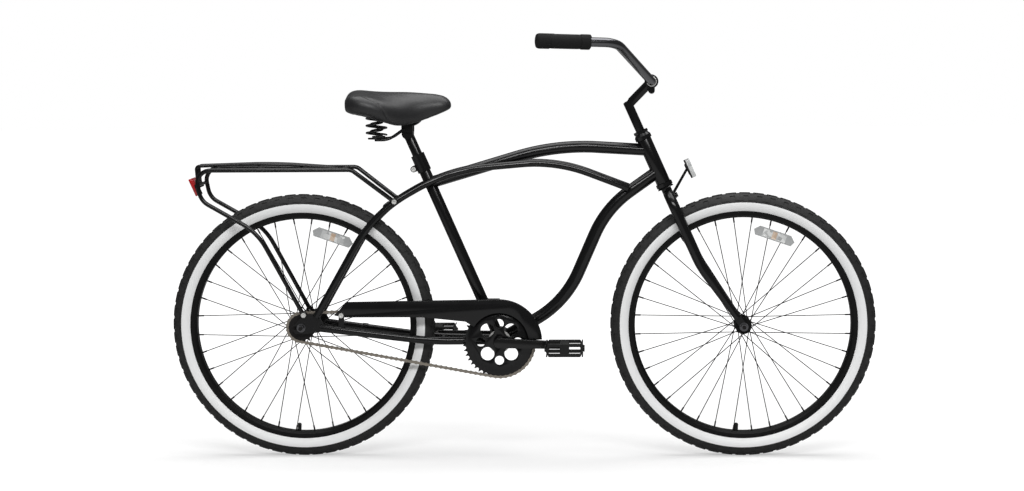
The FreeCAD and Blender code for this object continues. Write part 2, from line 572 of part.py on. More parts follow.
def fork_leg(inset):
    """One fork leg: an even tube to below its bend, then a taper to the tip."""
    upper = swept(leg_path, size("fork_leg_radius") - inset)
    taper = Part.makeCone(size("fork_leg_radius") - inset, size("fork_tip_radius") - inset,
                          (fork_tip - bend_points[2]).Length, bend_points[2], lower_direction)
    return upper.fuse(taper)


tip_ahead = Vector(lower_direction.z, 0, -lower_direction.x) * -1
tip_half = size("fork_tip_width") / 2
tip_corners = [fork_tip + tip_ahead * tip_half - lower_direction * tip_half,
               fork_tip - tip_ahead * tip_half - lower_direction * tip_half,
               axle_right - tip_ahead * tip_half, axle_right + tip_ahead * tip_half]
tip_plate = plate([(point.x, point.z) for point in tip_corners], -TIP_Y,
                  -TIP_Y - size("fork_tip_thickness"))
tip_round = Part.makeCylinder(tip_half, size("fork_tip_thickness"), FRONT + RIGHT * TIP_Y, RIGHT)
tip_slot = Part.makeCylinder(AXLE, size("fork_tip_thickness"), FRONT + RIGHT * TIP_Y, RIGHT)
slot_end = axle_right + lower_direction * (3 * tip_half)
slot_corners = [axle_right + tip_ahead * AXLE, axle_right - tip_ahead * AXLE,
                slot_end - tip_ahead * AXLE, slot_end + tip_ahead * AXLE]
tip_mouth = plate([(point.x, point.z) for point in slot_corners], -TIP_Y,
                  -TIP_Y - size("fork_tip_thickness"))
tip = tip_plate.fuse(tip_round).removeSplitter().cut(tip_slot.fuse(tip_mouth))
shaped("fork_tips", both_sides(tip))

leg_solid = fork_leg(0)
leg = leg_solid.cut(fork_leg(size("fork_wall"))).cut(Part.makeCompound([steerer_bar, tip]))
leg = max(leg.Solids, key=lambda solid: solid.Volume)
half_space = Part.makeBox(4 * TYRE_RADIUS, 4 * TYRE_RADIUS, 4 * TYRE_RADIUS, Vector(0, -4 * TYRE_RADIUS, 0))
leg = leg.common(half_space)
shaped("fork_legs", both_sides(leg))
shaped("fork_steerer", steerer_bar.cut(steerer_bore))

# Headset: crown race under the lower cup, adjusting race and lock nut over the upper cup
RACE_GAP = size("bolt_clearance")
race_top = size("head_tube_start") - size("cup_height") - RACE_GAP
crown_race = turned([(size("steerer_radius") + size("press_clearance"), 0), (CUP_LIP, 0),
                     (CUP_LIP - size("cup_lip"), size("crown_race_height")),
                     (size("steerer_radius") + size("press_clearance"), size("crown_race_height"))],
                    on_head(race_top - size("crown_race_height")), HEAD_UP)
nut_start = HEAD_TOP + size("cup_height") + RACE_GAP
race_bore = size("steerer_radius") + size("press_clearance")
race_height = size("locknut_height") / 2 - RACE_GAP
lock_nut = hexagon_nut(on_head(nut_start + size("locknut_height") / 2), HEAD_UP, size("locknut_width"),
                       race_height, race_bore)
top_race = turned([(race_bore, 0), (CUP_LIP, 0), (size("locknut_width") / 2, race_height),
                   (race_bore, race_height)], on_head(nut_start), HEAD_UP)
shaped("headset_races",
       Part.makeCompound([crown_race.cut(leg_solid).cut(mirrored(leg_solid)), top_race, lock_nut]))

# Stem: a quill in the steerer, a bend forward and a clamp with its pinch lug
bar_centre = on_head(size("stem_knee_along") + size("stem_rise"), size("stem_reach"))
STEM_RADIUS = STEERER_BORE - size("stem_clearance")
clamp_half = LEFT * (size("stem_clamp_width") / 2)
stem_ring = rod(bar_centre - clamp_half, bar_centre + clamp_half, size("stem_clamp_radius"))
stem_lug = bar_centre - UP * size("stem_lug_drop")
stem_boss = rod(stem_lug - clamp_half, stem_lug + clamp_half, size("stem_lug_radius"))
boss_neck = Part.makeBox(2 * size("stem_lug_radius"), size("stem_clamp_width"), size("stem_lug_drop"),
                         stem_lug - clamp_half - Vector(size("stem_lug_radius"), 0, 0))
bar_bore = rod(bar_centre - clamp_half, bar_centre + clamp_half, size("stem_bore") + size("stem_clearance"))
pinch_slot = Part.makeBox(2 * size("stem_clamp_radius"), size("clamp_slot"), 2 * size("stem_clamp_radius"),
                          Vector(bar_centre.x - size("stem_clamp_radius"), -size("clamp_slot") / 2,
                                 bar_centre.z - 2 * size("stem_clamp_radius")))
pinch_hole = rod(stem_lug - clamp_half, stem_lug + clamp_half, size("bolt_radius") + size("bolt_clearance"))
expander_bore = Part.makeCylinder(size("bolt_radius") + size("bolt_clearance"), 2 * size("stem_knee_along"),
                                  on_head(size("stem_insert")), HEAD_UP)
stem_bar = mitred(on_head(size("stem_insert")), on_head(size("stem_knee_along")), bar_centre, STEM_RADIUS)
stem = stem_bar.fuse([stem_ring, stem_boss, boss_neck]).removeSplitter()
knee_top = size("stem_knee_along") + STEM_RADIUS - size("stem_bolt_sink")
head_recess = Part.makeCylinder(size("bolt_head_radius") + size("bolt_clearance"), size("stem_rise"),
                                on_head(knee_top),
                                HEAD_UP)
stem = stem.cut(Part.makeCompound([bar_bore, pinch_slot.cut(boss_neck), pinch_hole, expander_bore,
                                   head_recess]))
shaped("stem", max(stem.Solids, key=lambda solid: solid.Volume))

wedge_bore = Part.makeCylinder(size("bolt_radius") + size("bolt_clearance"), size("wedge_length"),
                               on_head(size("stem_insert") - size("wedge_length")), HEAD_UP)
wedge = Part.makeCylinder(STEM_RADIUS, size("wedge_length"),
                          on_head(size("stem_insert") - size("wedge_length")),
                          HEAD_UP)
expander_length = knee_top - size("stem_insert") + size("wedge_length")
expander = bolt(on_head(knee_top), HEAD_UP, expander_length)
pinch_bolt = bolt(stem_lug - clamp_half, RIGHT, size("stem_clamp_width"))

# Handlebar: one bent tube with a sleeve in the stem, and a grip on each end
bar_side = [bar_centre + Vector(-size("bar_end_back"), -size("bar_end_y"), size("bar_end_rise")),
            bar_centre + Vector(-size("bar_knee_back"), -size("bar_knee_y"), size("bar_knee_rise")),
            bar_centre + RIGHT * size("bar_centre_half")]
other_side = [Vector(point.x, -point.y, point.z) for point in reversed(bar_side)]
bend_radii = [size("bar_knee_radius"), size("bar_centre_radius")]
bar_path = rounded_path(bar_side + other_side, bend_radii + bend_radii[::-1])
sleeve_half = LEFT * (size("bar_sleeve_width") / 2)
bar = swept(bar_path,
            size("bar_radius")).fuse(rod(bar_centre - sleeve_half, bar_centre + sleeve_half,
                                         size("stem_bore")))
bar_inside = swept(bar_path, size("bar_radius") - size("bar_wall"))
shaped("handlebar", bar.removeSplitter().cut(bar_inside))

grip_bore = size("bar_radius") + size("press_clearance")
grip_end = size("grip_length")
groove = size("grip_groove")
grip_wide = size("grip_end_radius")
grip_section = [(grip_bore, 0), (grip_wide, 0)]
for middle, before, after in ((size("grip_inner_end"), grip_wide, size("grip_radius")),
                              (grip_end - size("grip_outer_end"), size("grip_radius"), grip_wide)):
    grip_section += [(before, middle - groove), (size("grip_radius") - groove, middle),
                     (after, middle + groove)]
grip_section += [(grip_wide, grip_end - size("grip_cap")),
                 (grip_wide - size("grip_cap"), grip_end + size("grip_cap")),
                 (size("grip_hole_radius"), grip_end + size("grip_cap")),
                 (size("grip_hole_radius"), grip_end + groove / 10),
                 (grip_bore, grip_end + groove / 10)]
grip_run = (bar_side[0] - bar_side[1]).normalize()
grip = turned(grip_section, bar_side[0] - grip_run * grip_end, grip_run)
shaped("grip_right", grip)
shaped("grip_left", mirrored(grip))


# Wheels
def arc_band(points):
    """A closed outline of lines and arcs, from (radius, across) points; a middle point bends its span."""
    edges = []
    for start, middle, end in points:
        corners = [Vector(radius, 0, across) for radius, across in (start, end)]
        if middle:
            edges.append(Part.Arc(corners[0], Vector(middle[0], 0, middle[1]), corners[1]).toShape())
        else:
            edges.append(Part.LineSegment(corners[0], corners[1]).toShape())
    return Part.Face(Part.Wire(edges))


def ring_from(face, centre):
    """A ring turned about the wheel's axle from a section."""
    ring = face.revolve(Vector(0, 0, 0), UP, 360)
    ring.Placement = Placement(centre, Rotation(UP, LEFT))
    return ring


def tyre(centre):
    """A tyre with a rounded tread, full side walls and beads inside the rim."""
    wall = size("tyre_wall")
    half = size("tyre_width") / 2
    bead = size("rim_width") / 2 - size("rim_wall") - size("hub_bore_clearance") / 5
    flange = FLANGE_RADIUS
    shoulder = TYRE_RADIUS - half * 0.35
    tread = size("tread_flat") / 2 + wall
    middle = (flange + shoulder) / 2
    low = BEAD_RADIUS
    outline = [
        ((low, -bead), None, (flange, -bead)), ((flange, -bead), (middle, -half), (shoulder, -tread)),
        ((shoulder, -tread), (TYRE_RADIUS, 0), (shoulder, tread)),
        ((shoulder, tread), (middle, half), (flange, bead)),
        ((flange, bead), None, (low, bead)), ((low, bead), None, (low, bead - wall)),
        ((low, bead - wall), None, (flange, bead - wall)),
        ((flange, bead - wall), (middle, half - wall), (shoulder - wall, tread - wall)),
        ((shoulder - wall, tread - wall), (TYRE_RADIUS - wall, 0), (shoulder - wall, wall - tread)),
        ((shoulder - wall, wall - tread), (middle, wall - half), (flange, wall - bead)),
        ((flange, wall - bead), None, (low, wall - bead)), ((low, wall - bead), None, (low, -bead)),
    ]
    return ring_from(arc_band(outline), centre)


def rim(centre):
    """A single-wall rim with a bead seat each side of a sunk well."""
    half = size("rim_width") / 2
    wall = size("rim_wall")
    seat = BEAD_RADIUS - size("hub_bore_clearance") / 5
    inner = RIM_INNER
    well = inner + 2 * wall
    side = [(FLANGE_RADIUS, half), (inner + 3 * wall, half), (inner, half * 0.6)]
    bed = [(well, half * 0.42), (seat, half * 0.55), (seat, half - wall), (FLANGE_RADIUS, half - wall)]
    section = side + [(radius, -across) for radius, across in reversed(side)]
    section += [(radius, -across) for radius, across in reversed(bed)] + bed
    angle = math.radians(size("valve_angle"))
    hole = Part.makeCylinder(size("valve_radius") + size("bolt_clearance"), 2 * TYRE_RADIUS, centre,
                             Vector(math.cos(angle), 0, math.sin(angle)))
    return turned(section, centre, LEFT).cut(hole)


def inner_tube(centre):
    """An inflated tube with its valve stem through the rim."""
    angle = math.radians(size("valve_angle"))
    outward = Vector(math.cos(angle), 0, math.sin(angle))
    thickness = size("tube_thickness") / 2
    middle = TYRE_RADIUS - size("tyre_wall") - thickness - size("hub_bore_clearance")
    ring = Part.makeTorus(middle, thickness, centre, LEFT)
    stem_end = RIM_INNER - size("valve_length") / 2
    valve = Part.makeCylinder(size("valve_radius"), middle - stem_end, centre + outward * stem_end, outward)
    return ring.fuse(valve).removeSplitter()


def spokes(centre, flange_radius, flange_y):
    """Crossed spokes with their nipples: alternate sides, heads alternately inside and outside the flange."""
    count = int(size("spoke_count"))
    step = 2 * math.pi / count
    hole = flange_radius - size("flange_thickness")
    nearest = size("flange_thickness") / 2 + size("spoke_radius") + size("spoke_gap")
    rods = []
    for index in range(count):
        side = 1 if index % 2 else -1
        leading = 1 if (index // 2) % 2 else -1
        hub_angle = index // 2 * 2 * step + (2 * step if side > 0 else 0)
        rim_angle = hub_angle + leading * size("spoke_lap_steps") * step
        offset = nearest + size("spoke_lean") if leading > 0 else -nearest
        start = Vector(hole * math.cos(hub_angle), side * (flange_y + offset), hole * math.sin(hub_angle))
        reach = RIM_INNER - size("spoke_gap")
        end = Vector(reach * math.cos(rim_angle), side * size("spoke_rim_offset"),
                     reach * math.sin(rim_angle))
        run = (end - start).normalize()
        slope = run.cross(Vector(math.cos(rim_angle), 0, math.sin(rim_angle))).Length
        end = end - run * (size("nipple_radius") * slope)
        nipple = rod(centre + end - run * size("nipple_length"), centre + end, size("nipple_radius"))
        rods.append(rod(centre + start, centre + end, size("spoke_radius")).fuse(nipple))
    return Part.makeCompound(rods)


CONE_BORE = size("cone_radius") + size("hub_bore_clearance")


def hub(centre, flange_radius, flange_y, barrel_radius, end_y):
    """A hub shell with a flange near each end and a bore that turns on the axle's cones."""
    half = size("flange_thickness") / 2
    profile = [(CONE_BORE, -end_y), (barrel_radius, -end_y), (barrel_radius, -flange_y - half),
               (flange_radius, -flange_y - half), (flange_radius, -flange_y + half),
               (barrel_radius, -flange_y + half)]
    profile += [(radius, -along) for radius, along in reversed(profile)]
    return turned(profile, centre, LEFT)


LOCK_NUT_SHARE = 1.6


def axle(centre, length, spacing, cone_end):
    """An axle with its two bearing cones and the lock nuts against the dropouts."""
    cone_start = cone_end - size("cone_length")
    nut_outside = -spacing / 2
    nut_inside = nut_outside + size("washer_thickness") * 2
    nut_radius = LOCK_NUT_SHARE * AXLE
    cone = size("cone_radius")
    half = [(0, -length / 2), (AXLE, -length / 2), (AXLE, nut_outside), (nut_radius, nut_outside),
            (nut_radius, nut_inside), (AXLE, nut_inside), (AXLE, -cone_end), (cone, -cone_end),
            (cone, -cone_start), (AXLE, -cone_start)]
    return turned(half + [(radius, -along) for radius, along in reversed(half)], centre, LEFT)


def axle_nuts(centre, spacing, thickness):
    """A washer and a nut outside each dropout."""
    bore = AXLE + size("press_clearance")
    outer = spacing / 2 + thickness
    solids = []
    for side in (LEFT, RIGHT):
        seat = centre + side * outer
        washer = Part.makeCylinder(size("washer_radius"), size("washer_thickness"), seat, side)
        solids.append(washer.cut(Part.makeCylinder(bore, size("washer_thickness"), seat, side)))
        solids.append(hexagon_nut(seat + side * size("washer_thickness"), side, size("nut_width"),
                                  size("nut_height"), bore))
    return Part.makeCompound(solids)


def spoke_reflector(centre, flange_y, spoke_shapes):
    """A clear bar with slanted ends, laid against the outside of the right-hand spokes."""
    angle = math.radians(size("spoke_reflector_angle"))
    outward = Vector(math.cos(angle), 0, math.sin(angle))
    along = Vector(math.sin(angle), 0, -math.cos(angle))
    half_length = size("spoke_reflector_length") / 2
    half_height = size("spoke_reflector_height") / 2
    place = centre + outward * (RIM_INNER - size("spoke_reflector_inset"))
    corners = [place + along * x + outward * z for x, z in (
        (half_height - half_length, half_height), (half_length - half_height, half_height),
        (half_length, 0),
        (half_length - half_height / 2, -half_height), (half_height / 2 - half_length, -half_height),
        (-half_length, 0))]
    outline = [(point.x, point.z) for point in corners]
    bar = plate(outline, -flange_y, -flange_y - size("spoke_reflector_thickness"))
    slack = bar.distToShape(spoke_shapes)[0]
    bar.translate(LEFT * (slack - size("spoke_reflector_gap")))
    return bar


HUB_SIDE = size("hub_end_gap") + size("flange_thickness")
wheels = (("front", FRONT, "front_dropout_spacing", "fork_tip_thickness"),
          ("rear", REAR, "rear_dropout_spacing", "dropout_thickness"))
for name, centre, spacing, thickness in wheels:
    flange_radius = size(name + "_flange_radius")
    flange_y = size(name + "_flange_y")
    hub_end = flange_y + HUB_SIDE
    shaped(name + "_tyre", tyre(centre))
    shaped(name + "_inner_tube", inner_tube(centre))
    shaped(name + "_rim", rim(centre))
    wheel_spokes = spokes(centre, flange_radius, flange_y)
    shaped(name + "_spokes", wheel_spokes)
    shaped(name + "_hub", hub(centre, flange_radius, flange_y, size(name + "_barrel_radius"), hub_end))
    shaped(name + "_axle",
           axle(centre, size(name + "_axle_length"), size(spacing), hub_end + size("hub_end_gap") / 3))
    shaped(name + "_axle_nuts", axle_nuts(centre, size(spacing), size(thickness)))
    shaped(name + "_wheel_reflector", spoke_reflector(centre, flange_y, wheel_spokes))

# Chain drive, in the plane of the chain line on the right-hand side
CHAIN_Y = -size("chain_line")
WRAP = math.asin((RING_RADIUS - COG_RADIUS) / CENTRES)
SLOPE = math.atan2(CRANK.z - REAR.z, CRANK.x - REAR.x)
TOP_ANGLE = SLOPE + math.pi / 2 + WRAP
LOW_ANGLE = SLOPE - math.pi / 2 - WRAP
RING_STEP = 2 * math.pi / RING_TEETH
COG_STEP = 2 * math.pi / COG_TEETH
RING_LINKS = (math.pi + 2 * WRAP) / RING_STEP
COG_LINKS = (math.pi - 2 * WRAP) / COG_STEP
RUN_LINKS = CENTRES * math.cos(WRAP) / size("chain_pitch")


def on_circle(centre, radius, angle):
    """A point of a sprocket's pitch circle, in the plane of the chain."""
    return Vector(centre.x + radius * math.cos(angle), CHAIN_Y, centre.z + radius * math.sin(angle))


def chain_pin(index):
    """A link's pin: round the chainring, along the bottom, round the sprocket, along the top."""
    if index <= RING_LINKS:
        return on_circle(CRANK, RING_RADIUS, TOP_ANGLE - index * RING_STEP)
    index -= RING_LINKS
    low_run = (on_circle(CRANK, RING_RADIUS, LOW_ANGLE), on_circle(REAR, COG_RADIUS, LOW_ANGLE))
    if index <= RUN_LINKS:
        return low_run[0] + (low_run[1] - low_run[0]) * (index / RUN_LINKS)
    index -= RUN_LINKS
    if index <= COG_LINKS:
        return on_circle(REAR, COG_RADIUS, LOW_ANGLE - index * COG_STEP)
    index -= COG_LINKS
    top_run = (on_circle(REAR, COG_RADIUS, TOP_ANGLE), on_circle(CRANK, RING_RADIUS, TOP_ANGLE))
    return top_run[0] + (top_run[1] - top_run[0]) * (index / RUN_LINKS)


def link_plates(inner_y, hole):
    """A pair of waisted link plates with a hole at each pin, drawn along X from the first pin."""
    pitch = size("chain_pitch")
    half = size("plate_height") / 2
    shoulder = math.radians(50)
    near = Vector(half * math.cos(shoulder), 0, half * math.sin(shoulder))
    far = Vector(pitch - near.x, 0, near.z)
    waist = 0.66 * half
    edges = [
        Part.Arc(near, Vector(-half, 0, 0), Vector(near.x, 0, -near.z)),
        Part.Arc(Vector(near.x, 0, -near.z), Vector(pitch / 2, 0, -waist), Vector(far.x, 0, -far.z)),
        Part.Arc(Vector(far.x, 0, -far.z), Vector(pitch + half, 0, 0), far),
        Part.Arc(far, Vector(pitch / 2, 0, waist), near),
    ]
    face = Part.Face(Part.Wire([edge.toShape() for edge in edges]))
    thick = LEFT * size("plate_thickness")
    one = face.extrude(thick)
    for pin_x in (0, pitch):
        if hole:
            one = one.cut(Part.makeCylinder(hole, size("plate_thickness"), Vector(pin_x, 0, 0), LEFT))
    one.translate(LEFT * inner_y)
    return [one, mirrored(one)]


def inner_link():
    """Two plates joined by two hollow rollers."""
    bore = size("pin_radius") + size("pin_clearance")
    half = LEFT * (size("roller_width") / 2)
    plates = link_plates(half.y, bore)
    for pin_x in (0, size("chain_pitch")):
        pin = Vector(pin_x, 0, 0)
        roller = rod(pin - half, pin + half, size("roller_radius"))
        plates.append(roller.cut(rod(pin - half, pin + half, bore)))
    return plates[0].fuse(plates[1:])


def outer_link():
    """Two plates outside the inner ones, joined by two pins."""
    start = size("roller_width") / 2 + size("plate_thickness") + size("plate_gap")
    plates = link_plates(start, 0)
    half = LEFT * (start + size("plate_thickness") + size("plate_gap") * 4)
    for pin_x in (0, size("chain_pitch")):
        pin = Vector(pin_x, 0, 0)
        plates.append(rod(pin - half, pin + half, size("pin_radius")))
    return plates[0].fuse(plates[1:])


link_shapes = (inner_link(), outer_link())
chain = []
for index in range(LINKS):
    pin = chain_pin(index)
    run = chain_pin((index + 1) % LINKS) - pin
    link = link_shapes[index % 2].copy()
    link.Placement = Placement(pin, Rotation(LEFT, -math.degrees(math.atan2(run.z, run.x))))
    chain.append(link)
shaped("chain", Part.makeCompound(chain))


def toothed_disc(centre, teeth, radius, first_angle, y_from, y_to):
    """A sprocket plate whose tooth gaps seat the chain's rollers, with one gap at the first angle."""
    seat = size("roller_radius") + size("roller_clearance")
    step = 2 * math.pi / teeth
    tip_radius = radius + size("tooth_height")
    tip_half = size("tooth_thickness") / 3 / tip_radius
    edges = []

    def point(angle, ahead, out):
        outward = Vector(math.cos(angle), 0, math.sin(angle))
        onward = Vector(-math.sin(angle), 0, math.cos(angle))
        place = Vector(centre.x, y_from, centre.z)
        return place + outward * (radius + out) + onward * ahead

    def tip(angle):
        return Vector(centre.x + tip_radius * math.cos(angle), y_from,
                      centre.z + tip_radius * math.sin(angle))

    for index in range(teeth):
        angle = first_angle + index * step
        wide = seat * math.sin(math.pi / 3)
        start = point(angle, -wide, -seat / 2)
        end = point(angle, wide, -seat / 2)
        before = tip(angle - step / 2 + tip_half)
        after = tip(angle + step / 2 - tip_half)
        following = tip(angle + step / 2 + tip_half)
        edges.append(Part.LineSegment(before, start).toShape())
        edges.append(Part.Arc(start, point(angle, 0, -seat), end).toShape())
        edges.append(Part.LineSegment(end, after).toShape())
        edges.append(Part.LineSegment(after, following).toShape())
    return Part.Face(Part.Wire(edges)).extrude(Vector(0, y_to - y_from, 0))


# Chainring: toothed plate with a raised disc, pierced by large and small holes
TOOTH_HALF = size("tooth_thickness") / 2
ring_inside = CHAIN_Y + TOOTH_HALF
ring_outside = CHAIN_Y - TOOTH_HALF
ring_face = ring_outside - size("spider_thickness")
chainring = toothed_disc(CRANK, RING_TEETH, RING_RADIUS, TOP_ANGLE, ring_inside, ring_outside)
spider = Part.makeCone(size("spider_radius"), size("spider_radius") - size("spider_thickness"),
                       size("spider_thickness"),
                       CRANK + LEFT * ring_outside, RIGHT)
ring_start = CRANK + LEFT * ring_inside
ring_depth = ring_inside - ring_face
holes = [Part.makeCylinder(size("crank_axle_radius") + size("press_clearance"), ring_depth, ring_start,
                           RIGHT)]
for index in range(4):
    for radius, circle, turn in ((size("large_hole_radius"), size("large_hole_circle"), 45),
                                 (size("small_hole_radius"), size("small_hole_circle"), 0)):
        angle = math.radians(turn + 90 * index)
        place = ring_start + Vector(circle * math.cos(angle), 0, circle * math.sin(angle))
        holes.append(Part.makeCylinder(radius, ring_depth, place, RIGHT))
shaped("chainring", chainring.fuse(spider).cut(Part.makeCompound(holes)))

# Rear sprocket, with the driver sleeve that carries it on the axle
cog_first = LOW_ANGLE + (RING_LINKS + RUN_LINKS) * COG_STEP
sprocket = toothed_disc(REAR, COG_TEETH, COG_RADIUS, cog_first, ring_inside, ring_outside)
DRIVER_BORE = AXLE + size("hub_bore_clearance")
rear_hub_end = size("rear_flange_y") + HUB_SIDE + size("hub_end_gap") / 3
driver_start = REAR + RIGHT * (rear_hub_end + size("hub_bore_clearance"))
driver_end = REAR + RIGHT * (DROPOUT_Y - size("washer_thickness") * 2 - size("hub_bore_clearance"))
sprocket = sprocket.fuse(rod(driver_start, driver_end, size("driver_radius")))
sprocket = sprocket.cut(rod(driver_start, driver_end, DRIVER_BORE))
shaped("rear_sprocket", sprocket)

# One-piece crank: an axle through the shell with its bearing cones, and an arm at each end
CRANK_TILT = math.radians(size("crank_angle"))
arm_way = Vector(math.cos(CRANK_TILT), 0, math.sin(CRANK_TILT))
arm_half = LEFT * (size("crank_thickness") / 2)
axle_end = LEFT * size("crank_y")
SPINDLE = size("spindle_radius")
pedal_start = size("crank_y") + size("crank_thickness") / 2 + size("pedal_gap")

# The flat taper stays just inside the round ends of an arm
TAPER_SHARE = 0.49


def crank_arm(side, way):
    """A tapered arm, flat on both faces, with a round root and a round eye."""
    root = CRANK + side * size("crank_y")
    eye = root + way * size("crank_length")
    rise = Vector(-way.z, 0, way.x)
    half_root = rise * (size("crank_root_height") * TAPER_SHARE)
    half_tip = rise * (size("crank_tip_height") * TAPER_SHARE)
    outline = [root + half_root, eye + half_tip, eye - half_tip, root - half_root]
    taper = plate([(point.x, point.z) for point in outline], root.y - arm_half.y, root.y + arm_half.y)
    ends = [rod(root - arm_half, root + arm_half, size("crank_root_height") / 2),
            rod(eye - arm_half, eye + arm_half, size("crank_tip_height") / 2)]
    hole = rod(eye - arm_half, eye + arm_half, SPINDLE + size("press_clearance"))
    return taper.fuse(ends).cut(hole)


cone_y = size("shell_width") / 2
cones = [rod(CRANK + LEFT * (side * cone_y * 0.7), CRANK + LEFT * (side * (cone_y + size("cup_wall"))),
             CRANK_CONE)
         for side in (-1, 1)]
crank = rod(CRANK - axle_end, CRANK + axle_end, size("crank_axle_radius"))
crank = crank.fuse([crank_arm(RIGHT, arm_way), crank_arm(LEFT, arm_way * -1)] + cones).removeSplitter()
shaped("crank", crank)

# Pedals: a cage with windows, turning on a spindle screwed into the arm
PEDAL_HALF = Vector(size("pedal_length") / 2, 0, size("pedal_height") / 2)
RIB = size("pedal_corner")


def pedal_spindle(side, eye):
    """A pedal spindle from inside the arm's eye to near the far end of the pedal."""
    start = eye + side * (size("crank_y") - size("crank_thickness") / 2)
    far = pedal_start + size("pedal_width") - size("spindle_cap") - size("hub_bore_clearance")
    return rod(start, eye + side * far, SPINDLE)


def pedal_cage(side, eye):
    """A six-sided platform with windows through its top and its ends."""
    near = side.y * pedal_start
    far = side.y * (pedal_start + size("pedal_width"))
    x, z = PEDAL_HALF.x, PEDAL_HALF.z
    outline = [(x, 0), (x - RIB, z), (RIB - x, z), (-x, 0), (RIB - x, -z), (x - RIB, -z)]
    cage = plate([(eye.x + px, eye.z + pz) for px, pz in outline], near, far)
    sleeve = SPINDLE + RIB / 2
    windows = []
    window_y = size("pedal_width") - 2 * RIB
    low_y = min(near, far) + RIB
    for way in (-1, 1):
        inner_x = sleeve if way > 0 else RIB - x
        length = x - RIB - sleeve
        windows.append(Part.makeBox(length, window_y, 2 * size("pedal_height"),
                                    Vector(eye.x + inner_x, low_y, eye.z - size("pedal_height"))))
        windows.append(Part.makeBox(length, 2 * size("pedal_width"), z,
                                    Vector(eye.x + inner_x, min(near, far) - size("pedal_width") / 2,
                                           eye.z - z / 2)))
    bore = rod(eye + LEFT * near, eye + LEFT * (far - side.y * size("spindle_cap")),
               SPINDLE + size("spindle_clearance"))
    cage = cage.cut(Part.makeCompound(windows))
    core = rod(eye + LEFT * near, eye + LEFT * far, sleeve)
    return cage.fuse(core).removeSplitter().cut(bore)


right_eye = CRANK + arm_way * size("crank_length")
left_eye = CRANK - arm_way * size("crank_length")
shaped("pedal_spindles",
       Part.makeCompound([pedal_spindle(RIGHT, right_eye), pedal_spindle(LEFT, left_eye)]))
shaped("pedal_right", pedal_cage(RIGHT, right_eye))
shaped("pedal_left", pedal_cage(LEFT, left_eye))

# Chain guard: a pressed plate with a turned-in top edge, hooked round the chainring
GUARD_TOP = size("guard_top_radius")
GUARD_IN = size("guard_inner_radius")
guard_start = -size("guard_y")
GUARD_TIP = REAR + Vector(size("guard_tip_x"), guard_start, size("guard_tip_z"))
GUARD_SHOULDER = REAR + Vector(size("guard_shoulder_x"), guard_start, size("guard_shoulder_z"))
GUARD_LOWER = from_crank(size("guard_lower_x"), size("guard_lower_z"), guard_start)


def guard_point(radius, degrees):
    """A point of the guard's round end, by its radius and angle about the crank axle."""
    angle = math.radians(degrees)
    return Vector(CRANK.x + radius * math.cos(angle), guard_start, CRANK.z + radius * math.sin(angle))


def guard_outline(inset):
    """The guard's outline in the side view, shrunk by an inset."""
    tip = GUARD_TIP + Vector(inset, 0, 0)
    shoulder = GUARD_SHOULDER + Vector(inset / 2, 0, -inset)
    lower = GUARD_LOWER
    top = guard_point(GUARD_TOP - inset, 90)
    last_angle = size("guard_end_angle")
    outer_end = guard_point(GUARD_TOP - inset, last_angle)
    inner_end = guard_point(GUARD_IN, last_angle)
    heel_angle = size("guard_heel_angle")
    heel = guard_point(GUARD_IN, heel_angle)
    heel_tip = guard_point(GUARD_TOP * size("guard_heel_share"), heel_angle)
    edges = [
        Part.LineSegment(tip, shoulder), Part.LineSegment(shoulder, top),
        Part.Arc(top, guard_point(GUARD_TOP - inset, (90 + last_angle) / 2), outer_end),
        Part.LineSegment(outer_end, inner_end),
        Part.Arc(inner_end, guard_point(GUARD_IN, (heel_angle + last_angle) / 2), heel),
        Part.LineSegment(heel, heel_tip), Part.LineSegment(heel_tip, lower),
        Part.LineSegment(lower, Vector(tip.x + 2 * size("guard_lip"), guard_start, lower.z - inset / 10)),
        Part.LineSegment(Vector(tip.x + 2 * size("guard_lip"), guard_start, lower.z - inset / 10), tip),
    ]
    return Part.Face(Part.Wire([edge.toShape() for edge in edges]))


guard_sheet = guard_outline(0).extrude(RIGHT * size("guard_thickness"))
lip_block = guard_outline(0).extrude(LEFT * size("guard_lip"))
lip_core = guard_outline(size("guard_thickness")).extrude(LEFT * size("guard_lip"))
lip_keep = [(GUARD_SHOULDER.x, GUARD_LOWER.z + 1.5 * size("guard_lip")),
            (CRANK.x, CRANK.z + GUARD_IN + size("guard_lip")),
            (CRANK.x + GUARD_TOP, CRANK.z + size("guard_lip")),
            (CRANK.x + GUARD_TOP, CRANK.z + 2 * GUARD_TOP), (GUARD_SHOULDER.x, CRANK.z + 2 * GUARD_TOP)]
lip = lip_block.cut(lip_core).common(plate(lip_keep, guard_start, guard_start + size("guard_lip")))
lip = max(lip.Solids, key=lambda solid: solid.Volume)
screw_place = GUARD_TIP + Vector(1.5 * size("guard_lip"), 0, 0)
screw_hole = Part.makeCylinder(size("bolt_radius") + size("bolt_clearance"), 2 * size("guard_lip"),
                               screw_place + LEFT * size("guard_lip"), RIGHT)
shaped("chain_guard", guard_sheet.fuse(lip).removeSplitter().cut(screw_hole))

